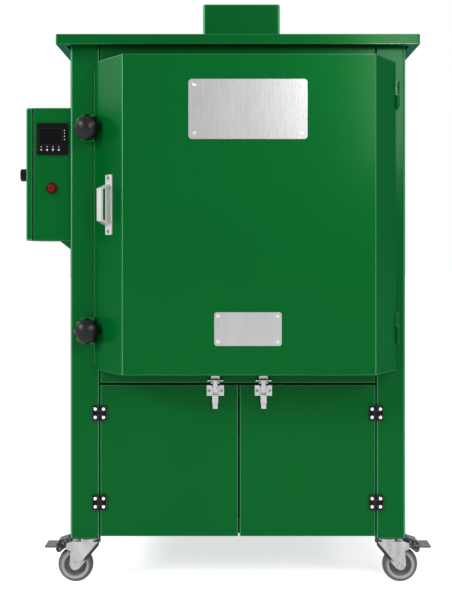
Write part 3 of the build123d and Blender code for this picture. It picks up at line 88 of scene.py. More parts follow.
class EnamelSettings(bpy.types.PropertyGroup):
    """The baked powder enamel on the casing and doors."""

    green: colour("Green", (0.0006, 0.0990, 0.0160), "Colour of the enamel")
    # The edge highlight green is painted light: a paler colour along edges that stands for a highlight.
    edge_highlight_green: colour("Thin green", (0.062, 0.300, 0.140), "Colour of thin enamel, along edges")
    black: colour("Black", (0.006, 0.006, 0.007), "Colour of the cabinet hinges")
    roughness: fraction("Roughness", 0.31, "How dull the enamel is")
    sheen: fraction("Sheen", 0.145, "Share of tinted mirroring")
    sheen_tint: colour("Sheen tint", (0.3, 1.0, 0.85), "Colour of the sheen")
    clear: fraction("Clear", 0.021, "Share of the clear top coat")
    clear_roughness: fraction("Clear roughness", 0.16, "How dull the clear top coat is")
    clear_index: amount("Clear index", 2.4, "Refractive index of the clear top coat", least=1)
    grain: length("Grain", 0.0034, "Size of the orange peel in the powder coat")
    grain_height: length("Grain height", 0.00030, "Depth of the orange peel")
    edge: length("Edge", 0.0032, "Radius that the coat gives to folded edges")


class MetalSettings(bpy.types.PropertyGroup):
    """Bare and plated metals, and the screws made of them."""

    zinc: colour("Zinc", (0.52, 0.52, 0.53), "Colour of zinc plated steel")
    aluminium: colour("Aluminium", (0.40, 0.40, 0.40), "Colour of the name plates")
    hinge_screw: length("Hinge screw", 0.0048, "Head radius of the cabinet hinge screws")
    handle_screw: length("Handle screw", 0.0050, "Head radius of the handle screws")
    latch_screw: length("Latch screw", 0.0042, "Head radius of the latch screws")
    panel_screw: length("Panel screw", 0.0055, "Head radius of the rear panel screws")
    caster_bolt: length("Caster bolt", 0.0065, "Head radius of the caster plate bolts")


class LiningSettings(bpy.types.PropertyGroup):
    """Bricks, fibre and heating coils."""

    brick: colour("Brick", (0.70, 0.58, 0.42), "Colour of the insulating firebrick")
    fibre: colour("Fibre", (0.78, 0.77, 0.73), "Colour of the ceramic fibre")
    brick_length: length("Brick length", 0.230, "Length of one brick along a course")
    brick_course: length("Brick course", 0.114, "Height of one course")
    wire_radius: length("Wire radius", 0.0013, "Radius of the element wire")
    coil_radius: length("Coil radius", 0.0080, "Outer radius of a heating coil")
    coil_pitch: length("Coil pitch", 0.0080, "Distance between the turns of a coil")


class StageSettings(bpy.types.PropertyGroup):
    """Camera, lamps and floor."""

    camera: FloatVectorProperty(
        name="Camera", description="Place of the camera", default=(0.030, -3.199, 0.947),
        subtype="TRANSLATION",
    )
    lens: amount("Lens", 60.0, "Focal length in millimetres", least=1)
    shift: FloatVectorProperty(name="Shift", description="Lens shift", default=(-0.015, -0.085), size=2)
    sun: amount("Sun", 1.4, "Strength of the left soft lamp")
    fill: amount("Fill", 0.55, "Strength of the right soft lamp")
    panel: amount("Panel", 30.0, "Power of the right lamp strip in watts; the left ones have shares of it")
    ambient: amount("Ambient", 0.46, "Light from all around")
    floor: amount("Floor", 30.0, "Half width of the floor in metres", least=1)
    glow: amount("Glow", 0.68, "How white the floor looks by itself")


def opaque(rgb):
    """A colour with its fourth number."""
    return (rgb[0], rgb[1], rgb[2], 1.0)


class Value:
    """A number or colour that changes over a surface. Python's operators on it add Math nodes."""

    def __init__(self, finish, socket):
        self.finish = finish
        self.socket = socket

    def math(self, operation, first, second):
        """One Math node in the material that the value belongs to."""
        return self.finish.math(operation, first, second)

    def __add__(self, other):
        return self.math("ADD", self, other)

    __radd__ = __add__

    def __sub__(self, other):
        return self.math("SUBTRACT", self, other)

    def __rsub__(self, other):
        return self.math("SUBTRACT", other, self)

    def __mul__(self, other):
        return self.math("MULTIPLY", self, other)

    __rmul__ = __mul__

    def __pow__(self, other):
        return self.math("POWER", self, other)

    def __gt__(self, other):
        return self.math("GREATER_THAN", self, other)

    def __lt__(self, other):
        return self.math("LESS_THAN", self, other)

    def __abs__(self):
        return self.math("ABSOLUTE", self, 0.0)

    def __mod__(self, other):
        return self.math("FLOORED_MODULO", self, other)


class Finish:
    """A material being made: its shader, its Object coordinates and the nodes that vary it."""

    def __init__(self, name, rgb, roughness, metallic=0.0, gloss=0.5):
        self.material = bpy.data.materials.new(name)
        self.material.use_nodes = True
        self.material.diffuse_color = opaque(rgb)
        self.tree = self.material.node_tree
        self.shader = self.tree.nodes["Principled BSDF"]
        self.set("Base Color", opaque(rgb))
        self.set("Roughness", roughness)
        self.set("Metallic", metallic)
        self.set("Specular IOR Level", gloss)

    def feed(self, socket, value):
        """Gives any socket a constant or a varying value."""
        if isinstance(value, Value):
            self.tree.links.new(value.socket, socket)
        else:
            socket.default_value = value

    def set(self, socket, value):
        """Gives a socket of the shader a constant or a varying value."""
        self.feed(self.shader.inputs[socket], value)

    def node(self, kind, settings=None, inputs=None, output=0):
        """Adds one node, sets it, feeds its sockets and returns one output."""
        made = self.tree.nodes.new(kind)
        for name, value in (settings or {}).items():
            if name == "stops":
                elements = made.color_ramp.elements
                elements.remove(elements[-1])
                elements[0].position, elements[0].color = value[0][0], opaque(value[0][1])
                for position, rgb in value[1:]:
                    elements.new(position).color = opaque(rgb)
            else:
                setattr(made, name, value)
        for key, value in (inputs or {}).items():
            self.feed(made.inputs[key], value)
        return Value(self, made.outputs[output])

    def math(self, operation, first, second):
        """One Math node on two numbers."""
        return self.node("ShaderNodeMath", {"operation": operation}, {0: first, 1: second})

    def place(self):
        """The point on the surface, in the piece's own metres."""
        return self.node("ShaderNodeTexCoord", output="Object")

    def stretched(self, scale):
        """The point with each axis multiplied, for grain that runs one way."""
        return self.node("ShaderNodeMapping", {}, {"Vector": self.place(), "Scale": scale})

    def axis(self, index, vector=None):
        """One coordinate of the point."""
        return self.node("ShaderNodeSeparateXYZ", {}, {0: vector or self.place()}, output=index)

    def noise(self, size, detail=2.0, vector=None):
        """Soft random values about 0.5, with lumps of that size in metres."""
        inputs = {"Vector": vector or self.place(), "Scale": 1 / size, "Detail": detail}
        return self.node("ShaderNodeTexNoise", {}, inputs)

    def blend(self, factor, first, second):
        """A colour between two."""
        first, second = (c if isinstance(c, Value) else opaque(c) for c in (first, second))
        return self.node("ShaderNodeMix", {"data_type": "RGBA"}, {0: factor, 6: first, 7: second}, output=2)

    def ramp(self, factor, stops):
        """A colour read from stops along a number."""
        return self.node("ShaderNodeValToRGB", {"stops": stops}, {0: factor})

    def limit(self, value, low, high, to_low=0.0, to_high=1.0):
        """A value carried from one range to another and held inside it."""
        inputs = {0: value, 1: low, 2: high, 3: to_low, 4: to_high}
        return self.node("ShaderNodeMapRange", {"clamp": True}, inputs)

    def rounded(self, radius):
        """The surface's normal with its sharp edges read as rounded ones."""
        return self.node("ShaderNodeBevel", {"samples": 4}, {"Radius": radius})

    def edges(self, rounded):
        """One along folded edges and nought on flat faces."""
        least_turn, full_turn = 0.004, 0.09
        flat = self.node("ShaderNodeNewGeometry", output="Normal")
        inputs = {0: rounded, 1: flat}
        same = self.node("ShaderNodeVectorMath", {"operation": "DOT_PRODUCT"}, inputs, output="Value")
        return self.limit(1 - same, least_turn, full_turn)

    def bends(self):
        """One along the round bends of folded sheet and nought on its flat and slanting faces."""
        least_turn, full_turn = 0.02, 0.08
        # The main door's two slopes face this far across, give or take the second number.
        slope_across, slope_margin = 0.83, 0.06
        facing = self.node("ShaderNodeTexCoord", output="Normal")
        across, along, up = (abs(self.axis(index, facing)) for index in range(3))
        squarest = self.math("MAXIMUM", self.math("MAXIMUM", across, along), up)
        slope = abs(across - slope_across) < slope_margin
        return self.limit(1 - squarest, least_turn, full_turn) * (1 - slope)

    def bump(self, height, distance, strength, normal=None):
        """Relief from a height that varies over the surface."""
        inputs = {"Strength": strength, "Distance": distance, "Height": height}
        if normal:
            inputs["Normal"] = normal
        self.set("Normal", self.node("ShaderNodeBump", {}, inputs))

    def radius_about(self, centre, axes):
        """Distance from a line through a point, measured in two of the axes."""
        point = self.place()
        squares = [(self.axis(axis, point) - centre[axis]) ** 2.0 for axis in axes]
        return (squares[0] + squares[1]) ** 0.5

    def on(self, *pieces):
        """Puts the finish on pieces, which may be names of CAD nodes."""
        for piece in pieces:
            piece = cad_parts[piece] if isinstance(piece, str) else piece
            piece.data.materials.clear()
            piece.data.materials.append(self.material)


class Sky(Finish):
    """The surroundings' nodes, added in the same way as a material's."""

    def __init__(self, tree):
        self.tree = tree


def darker(rgb, share):
    """A colour multiplied by one number."""
    return tuple(channel * share for channel in rgb)


def enamel(name, rgb, thin, settings, bent=False):
    """Baked powder enamel: even colour, faint orange peel, and edges painted lighter as a highlight, where
    the clear coat and sheen rise too.

    Its gloss is a tinted sheen under a thin clear coat, so that it stays green at a grazing view.
    """
    edge_clear, edge_highlight_share, edge_sheen = 0.2, 0.75, 0.3
    made = Finish(name, rgb, settings.roughness, 0.0, 0.0)
    made.set("Specular Tint", opaque(settings.sheen_tint))
    made.set("Coat Roughness", settings.clear_roughness)
    made.set("Coat IOR", settings.clear_index)
    folded = made.rounded(settings.edge)
    edges = made.edges(folded)
    if bent:
        edges = made.limit(edges + made.bends(), 0.0, 1.0)
    made.set("Coat Weight", settings.clear + edge_clear * edges)
    cloud = made.noise(0.35, 3.0)
    body = made.blend(cloud, darker(rgb, 0.9), darker(rgb, 1.1))
    # Painted highlight: along edges and bends the colour turns to the paler edge colour.
    made.set("Base Color", made.blend(edge_highlight_share * edges, body, thin))
    made.set("Metallic", settings.sheen + edge_sheen * edges)
    made.set("Roughness", settings.roughness - 0.05 + 0.1 * made.noise(0.05, 2.0))
    made.bump(made.noise(settings.grain, 1.0), settings.grain_height, 0.5, folded)
    return made


def plated(name, rgb, roughness, brush=(1, 1, 1)):
    """Plated or bare metal: fine scratches, drawn out one way by a brush, clouds and edges painted lighter as
    a highlight.
    """
    scratch_depth, contrast, highlight_mix, highlight_lift = 0.00005, 0.2, 0.6, 1.6
    made = Finish(name, rgb, roughness, 1.0)
    folded = made.rounded(0.0008)
    scratches = made.noise(0.0012, 2.0, made.stretched(brush))
    cloud = made.noise(0.014, 3.0)
    body = made.blend(cloud, darker(rgb, 1 - contrast), darker(rgb, 1 + contrast))
    # Painted highlight: the colour is lighter along edges.
    made.set("Base Color", made.blend(highlight_mix * made.edges(folded), body, darker(rgb, highlight_lift)))
    made.set("Roughness", roughness - 0.08 + 0.16 * scratches)
    made.bump(scratches, scratch_depth, 0.5, folded)
    return made


def moulded(name, rgb, roughness, gloss=0.08, highlight_lift=4.0, radius=0.001):
    """Moulded plastic or resin with a faint grain and edges painted lighter as a highlight."""
    grain, grain_depth, edge_light = 0.0015, 0.00005, 0.6
    made = Finish(name, rgb, roughness, 0.0, gloss)
    folded = made.rounded(radius)
    cloud = made.noise(0.01, 3.0)
    body = made.blend(cloud, darker(rgb, 0.8), darker(rgb, 1.25))
    # Painted highlight: the colour is lighter along edges.
    made.set("Base Color", made.blend(edge_light * made.edges(folded), body, darker(rgb, highlight_lift)))
    made.set("Roughness", roughness - 0.06 + 0.12 * made.noise(0.004, 2.0))
    made.bump(made.noise(grain, 1.0), grain_depth, 0.5, folded)
    return made


def deselect():
    """Leaves nothing selected, so that an operator acts on new pieces alone."""
    for item in bpy.context.selected_objects:
        item.select_set(False)


def alone(piece):
    """Selects one piece by itself and makes it the active one."""
    deselect()
    piece.select_set(True)
    bpy.context.view_layer.objects.active = piece


def newest(name):
    """The primitive just added, named, with its place moved into its mesh."""
    piece = bpy.context.object
    bpy.ops.object.transform_apply(location=True, rotation=True, scale=True)
    piece.name = piece.data.name = name
    return piece


def block(name, low, high):
    """A box between two corners."""
    deselect()
    middle = [(a + b) / 2 for a, b in zip(low, high)]
    bpy.ops.mesh.primitive_cube_add(size=1, location=middle, scale=[b - a for a, b in zip(low, high)])
    return newest(name)


def disc(name, radius, depth, sides=32):
    """An upright round bar that stands on the origin."""
    deselect()
    middle = (0, 0, depth / 2)
    bpy.ops.mesh.primitive_cylinder_add(vertices=sides, radius=radius, depth=depth, location=middle)
    return newest(name)


def flat_disc(name, radius, sides):
    """A round face that lies on the origin and faces up."""
    deselect()
    bpy.ops.mesh.primitive_circle_add(vertices=sides, radius=radius, fill_type="NGON")
    return newest(name)


def edit(piece):
    """Starts editing one piece with nothing of it selected."""
    alone(piece)
    bpy.ops.object.mode_set(mode="EDIT")
    bpy.ops.mesh.select_all(action="DESELECT")


def done():
    """Ends editing."""
    bpy.ops.object.mode_set(mode="OBJECT")


def pick_faces(piece, wanted):
    """Selects the faces whose middle and normal pass a test, while editing."""
    bpy.ops.mesh.select_all(action="DESELECT")
    bpy.ops.mesh.select_mode(type="FACE")
    mesh = bmesh.from_edit_mesh(piece.data)
    for face in mesh.faces:
        face.select_set(bool(wanted(face.calc_center_median(), face.normal)))
    bmesh.update_edit_mesh(piece.data)


def face_outwards():
    """Makes every face of the piece being edited point outwards."""
    bpy.ops.mesh.select_all(action="SELECT")
    bpy.ops.mesh.normals_make_consistent(inside=False)


def modify(piece, kind, **settings):
    """Adds a modifier and applies it."""
    alone(piece)
    made = piece.modifiers.new(kind.lower(), kind)
    for name, value in settings.items():
        setattr(made, name, value)
    bpy.ops.object.modifier_apply(modifier=made.name)


def smooth(piece, degrees=35):
    """Smooth shading that keeps edges sharper than an angle."""
    alone(piece)
    bpy.ops.object.shade_smooth_by_angle(angle=radians(degrees))


def joined(pieces, name):
    """Several pieces made one."""
    deselect()
    for piece in pieces:
        piece.select_set(True)
    bpy.context.view_layer.objects.active = pieces[0]
    bpy.ops.object.join()
    pieces[0].name = pieces[0].data.name = name
    return pieces[0]


def copies(master, name, places):
    """One piece of many copies of a pattern that stands on the origin along +Z.

    Each copy has its place and the direction that it faces.
    """
    made = []
    for place, direction in places:
        copy = master.copy()
        copy.data = master.data.copy()
        bpy.context.scene.collection.objects.link(copy)
        turn = Vector(direction).to_track_quat("Z", "Y").to_matrix().to_4x4()
        copy.data.transform(Matrix.Translation(place) @ turn)
        made.append(copy)
    return joined(made, name)


def discard(piece):
    """Removes a pattern or cutter once it has been used."""
    bpy.data.objects.remove(piece)


def settle(piece, finish, body):
    """Gives a finished piece its material and body."""
    finish.on(piece)
    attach(piece, body)


def cross_screw(radius, height):
    """A pan head with a cross recess."""
    head = disc("screw_pattern", radius, height)
    edit(head)
    pick_faces(head, lambda middle, normal: normal.z > 0.9)
    bpy.ops.mesh.bevel(offset=height * 0.55, segments=3, affect="EDGES")
    done()
    arm, width = radius * 0.62, radius * 0.14
    for along, across in ((arm, width), (width, arm)):
        cutter = block("recess", (-along, -across, height * 0.45), (along, across, height * 2))
        modify(head, "BOOLEAN", object=cutter, operation="DIFFERENCE", solver="EXACT")
        discard(cutter)
    smooth(head)
    return head


def hex_bolt(radius, height):
    """A six sided head with chamfered corners on a washer face."""
    head = disc("bolt_pattern", radius, height, 6)
    edit(head)
    pick_faces(head, lambda middle, normal: normal.z > 0.9)
    bpy.ops.mesh.bevel(offset=height * 0.2, segments=2, affect="EDGES")
    pick_faces(head, lambda middle, normal: normal.z < -0.9)
    bpy.ops.mesh.extrude_region_move(TRANSFORM_OT_translate={"value": (0, 0, -height * 0.12)})
    bpy.ops.transform.resize(value=(1.12, 1.12, 1))
    done()
    return head


class KilnOperator(bpy.types.Operator):
    """What all the kiln's operators share."""

    bl_options = {"REGISTER", "UNDO"}

    def execute(self, context):
        self.make(context.scene)
        return {"FINISHED"}


class KILN_OT_casing(KilnOperator):
    """Enamel on the casing, doors, hood and control box"""

    bl_idname = "kiln.casing"
    bl_label = "Enamel the casing"

    def make(self, scene):
        settings = scene.kiln_enamel
        enamel("green_enamel", settings.green, settings.edge_highlight_green, settings).on(
            "front_panel", "rear_panel", "top_plate", "base_frame", "chamber_deck", "door_back_frame",
            "frame_hinge_knuckles", "control_box",
        )
        enamel("bent_green_enamel", settings.green, settings.edge_highlight_green, settings, bent=True).on(
            "left_side_panel", "right_side_panel", "vent_hood", "door_shell", "left_cabinet_door",
            "right_cabinet_door", "control_lid",
        )
        # The black enamel's edge colour, six times the black, is a painted highlight.
        enamel("black_enamel", settings.black, darker(settings.black, 6.0), settings).on(
            "frame_hinge_leaves", "left_hinge_leaves", "right_hinge_leaves"
        )
        moulded("seal_black", (0.003, 0.003, 0.003), 0.7, gloss=0.04).on("lid_gasket")


class KILN_OT_fasteners(KilnOperator):
    """Screws of the cabinet hinges, latches, handle and rear panel, and the caster bolts"""

    bl_idname = "kiln.fasteners"
    bl_label = "Add the fasteners"

    def make(self, scene):
        settings = scene.kiln_metal
        bright = plated("screw_zinc", (0.72, 0.72, 0.73), 0.3)
        self.hinge_screws(settings.hinge_screw, bright)
        self.latch_screws(settings.latch_screw, plated("latch_screw_steel", (0.24, 0.24, 0.24), 0.35))
        self.handle_screws(settings.handle_screw, plated("screw_steel", (0.20, 0.20, 0.20), 0.35))
        self.panel_screws(settings.panel_screw, bright)
        self.caster_bolts(settings.caster_bolt, bright)

    def hinge_screws(self, radius, finish):
        """Two screws, one above the other, in each leaf of the four cabinet hinges."""
        pattern = cross_screw(radius, 0.0014)
        axis_inset, half_height, leaf_depth = 0.020, 0.0215, 0.005
        leaf_middle, screw_rise = 0.0115, 0.0115
        low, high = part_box("frame_hinge_leaves")
        for side in ("left", "right"):
            leaf_low, leaf_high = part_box(f"{side}_hinge_leaves")
            outward = -1 if side == "left" else 1
            axis_x = low.x + axis_inset if side == "left" else high.x - axis_inset
            levels = (leaf_low.z + half_height, leaf_high.z - half_height)
            for body, way, name in (("casing", outward, "frame"), (f"{side}_cabinet_door", -outward, "door")):
                places = [
                    (Vector((axis_x + way * leaf_middle, leaf_low.y + leaf_depth, level + rise)), FRONT)
                    for level in levels
                    for rise in (-screw_rise, screw_rise)
                ]
                settle(copies(pattern, f"{side}_{name}_hinge_screws", places), finish, body)
        discard(pattern)

    def latch_screws(self, radius, finish):
        """One screw in each ear of the latches' base plates."""
        pattern = cross_screw(radius, 0.0013)
        ear_middle, ear_height, plate_thickness = 0.0178, 0.0135, 0.002
        for side in ("left", "right"):
            low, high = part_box(f"{side}_latch_base")
            middle_x = (low.x + high.x) / 2
            places = [
                (Vector((middle_x + way * ear_middle, high.y - plate_thickness, low.z + ear_height)), FRONT)
                for way in (-1, 1)
            ]
            screws = copies(pattern, f"{side}_latch_screws", places)
            settle(screws, finish, f"{side}_cabinet_door")
        discard(pattern)

    def handle_screws(self, radius, finish):
        """One screw in each foot of the pull handle, square to the door's left slope."""
        pattern = cross_screw(radius, 0.0016)
        low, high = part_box("door_handle")
        out = Vector((-0.803, -0.596, 0))
        seat = Vector((-0.3114, -0.4832, (low.z + high.z) / 2))
        foot_thickness, screw_rise = 0.003, 0.0725
        face = seat + out * foot_thickness
        places = [(face + Vector((0, 0, rise)), out) for rise in (-screw_rise, screw_rise)]
        settle(copies(pattern, "handle_screws", places), finish, "main_door")
        discard(pattern)

    def panel_screws(self, radius, finish):
        """A row of screws up each side of the rear panel."""
        pattern = cross_screw(radius, 0.002)
        low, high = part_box("rear_panel")
        inset, rows = 0.012, 6
        places = []
        for row in range(rows):
            level = low.z + inset + (high.z - low.z - 2 * inset) * row / (rows - 1)
            for x in (low.x + inset, high.x - inset):
                places.append((Vector((x, high.y, level)), REAR))
        settle(copies(pattern, "rear_panel_screws", places), finish, "casing")
        discard(pattern)

    def caster_bolts(self, radius, finish):
        """A bolt head under each corner of the four caster plates."""
        pattern = hex_bolt(radius, 0.0024)
        low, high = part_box("caster_plates")
        plate_x, plate_y, plate_thickness, inset = 0.080, 0.105, 0.0033, 0.012
        places = []
        for x0, x1 in ((low.x, low.x + plate_x), (high.x - plate_x, high.x)):
            for y0, y1 in ((low.y, low.y + plate_y), (high.y - plate_y, high.y)):
                for x in (x0 + inset, x1 - inset):
                    for y in (y0 + inset, y1 - inset):
                        places.append((Vector((x, y, high.z - plate_thickness)), DOWN))
        settle(copies(pattern, "caster_bolts", places), finish, "casing")
        discard(pattern)


class KILN_OT_star_knobs(KilnOperator):
    """Domed star knobs with their threaded studs"""

    bl_idname = "kiln.star_knobs"
    bl_label = "Make the star knobs"

    def make(self, scene):
        resin = moulded(
            "knob_resin", (0.0032, 0.0030, 0.0032), 0.33, gloss=0.22, highlight_lift=2.0, radius=0.0022
        )
        knob_depth, stud_radius, stud_inset = 0.030, 0.006, 0.020
        thread_pitch, thread_relief = 0.00175, 0.9
        stud_finish = plated("threaded_steel", scene.kiln_metal.zinc, 0.32)
        thread = stud_finish.axis(1) % thread_pitch
        stud_finish.bump(abs(thread - thread_pitch / 2), thread_relief, 1.0)
        plated("washer_zinc", scene.kiln_metal.zinc, 0.3).on("upper_clamp_washer", "lower_clamp_washer")
        for place in ("upper", "lower"):
            node = f"{place}_clamp_knob"
            low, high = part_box(node)
            middle = Vector(((low.x + high.x) / 2, 0, (low.z + high.z) / 2))
            knob = self.star(f"{place}_star_knob")
            knob.data.transform(Matrix.Translation(middle + Vector((0, low.y + knob_depth, 0))))
            settle(knob, resin, node)
            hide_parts(node)
            stud = disc(f"{place}_stud", stud_radius, high.y - low.y - stud_inset, 24)
            edit(stud)
            pick_faces(stud, lambda centre, normal: abs(normal.z) > 0.9)
            bpy.ops.mesh.bevel(offset=0.001, segments=2, affect="EDGES")
            done()
            smooth(stud)
            stud.data.transform(Matrix.Translation(middle + Vector((0, high.y, 0))) @ FACE_FRONT)
            settle(stud, stud_finish, node)

    def star(self, name):
        """A dome of eight lobes that faces the front, with its back at Y zero and its collar behind."""
        back_radius = 0.0345
        dome = (
            (0.0005, 1.035), (0.0015, 1.019), (0.0035, 1.0), (0.0035, 0.975), (0.0040, 0.935), (0.0045, 0.88),
            (0.0045, 0.80), (0.0037, 0.70), (0.0026, 0.53), (0.0009, 0.45),
        )
        collar = ((0, 0.42), (-0.009, 1.0), (-0.001, 0.94))
        knob = flat_disc(name, back_radius, 96)
        edit(knob)
        pick_faces(knob, lambda middle, normal: True)
        self.grow(dome)
        pick_faces(knob, lambda middle, normal: normal.z < -0.9)
        self.grow(collar)
        face_outwards()
        done()
        self.scallop(knob)
        smooth(knob, 42)
        knob.data.transform(FACE_FRONT)
        return knob

    def grow(self, levels):
        """Rings that grow from the faces picked, each a rise and a share of the last ring's radius."""
        for rise, share in levels:
            bpy.ops.mesh.extrude_region_move(TRANSFORM_OT_translate={"value": (0, 0, rise)})
            bpy.ops.transform.resize(value=(share, share, 1))

    def scallop(self, knob):
        """The eight hollows for the fingers, cut right through the dome."""
        reach, hollow_radius, hollow_height, below_back, lobes = 0.0422, 0.0117, 0.0336, 0.0010, 8
        for lobe in range(lobes):
            cutter = disc("hollow", hollow_radius, hollow_height, 40)
            around = Matrix.Rotation((lobe + 0.5) * 2 * pi / lobes, 4, "Z")
            cutter.data.transform(around @ Matrix.Translation((reach, 0, -below_back)))
            modify(knob, "BOOLEAN", object=cutter, operation="DIFFERENCE", solver="EXACT")
            discard(cutter)


class KILN_OT_door_trim(KilnOperator):
    """Finishes of the pull handle, the bare name plates and their rivets"""

    bl_idname = "kiln.door_trim"
    bl_label = "Finish the door trim"

    def make(self, scene):
        self.handle_lacquer().on("door_handle")
        self.brushed_plate(scene.kiln_metal.aluminium).on("name_plates")
        plated("rivet_aluminium", (0.58, 0.58, 0.58), 0.3).on("plate_rivets")

    def handle_lacquer(self):
        """Pale lacquer, a little uneven, with a painted highlight that makes it whiter along the edges."""
        handle = Finish("handle_lacquer", (0.70, 0.70, 0.69), 0.3, 0.25, 0.3)
        folded = handle.rounded(0.0012)
        body = handle.blend(handle.noise(0.05, 2.0), (0.55, 0.55, 0.545), (0.65, 0.65, 0.64))
        # Painted highlight: whiter along the edges.
        handle.set("Base Color", handle.blend(0.5 * handle.edges(folded), body, (0.92, 0.92, 0.91)))
        handle.set("Roughness", 0.27 + 0.06 * handle.noise(0.01, 2.0))
        handle.bump(handle.noise(0.004, 1.0), 0.00002, 0.3, folded)
        return handle

    def brushed_plate(self, rgb):
        """Aluminium brushed up and down, with broad painted reflections in light and dark stripes."""
        plate = Finish("brushed_plate", rgb, 0.36, 0.9)
        grain = plate.noise(0.0009, 2.0, plate.stretched((1, 1, 0.02)))
        # Painted reflection: broad light and dark stripes up the plate, mixed into the tone with the grain.
        reflection_bands = plate.noise(0.09, 1.0, plate.stretched((1, 1, 0.12)))
        tone = 0.35 * grain + 0.65 * reflection_bands
        plate.set("Base Color", plate.blend(tone, darker(rgb, 0.78), darker(rgb, 1.18)))
        plate.set("Roughness", 0.20 + 0.14 * grain)
        plate.bump(grain, 0.00006, 0.5, plate.rounded(0.0007))
        return plate


class KILN_OT_latches(KilnOperator):
    """Finishes of the toggle latches and their keepers"""

    bl_idname = "kiln.latches"
    bl_label = "Finish the latches"

    def make(self, scene):
        zinc = scene.kiln_metal.zinc
        pressed = plated("latch_zinc", darker(zinc, 0.82), 0.3, (1, 1, 0.1))
        for side in ("left", "right"):
            pressed.on(f"{side}_latch_base", f"{side}_latch_lever", f"{side}_latch_bolt")
        pressed.on("latch_keepers")


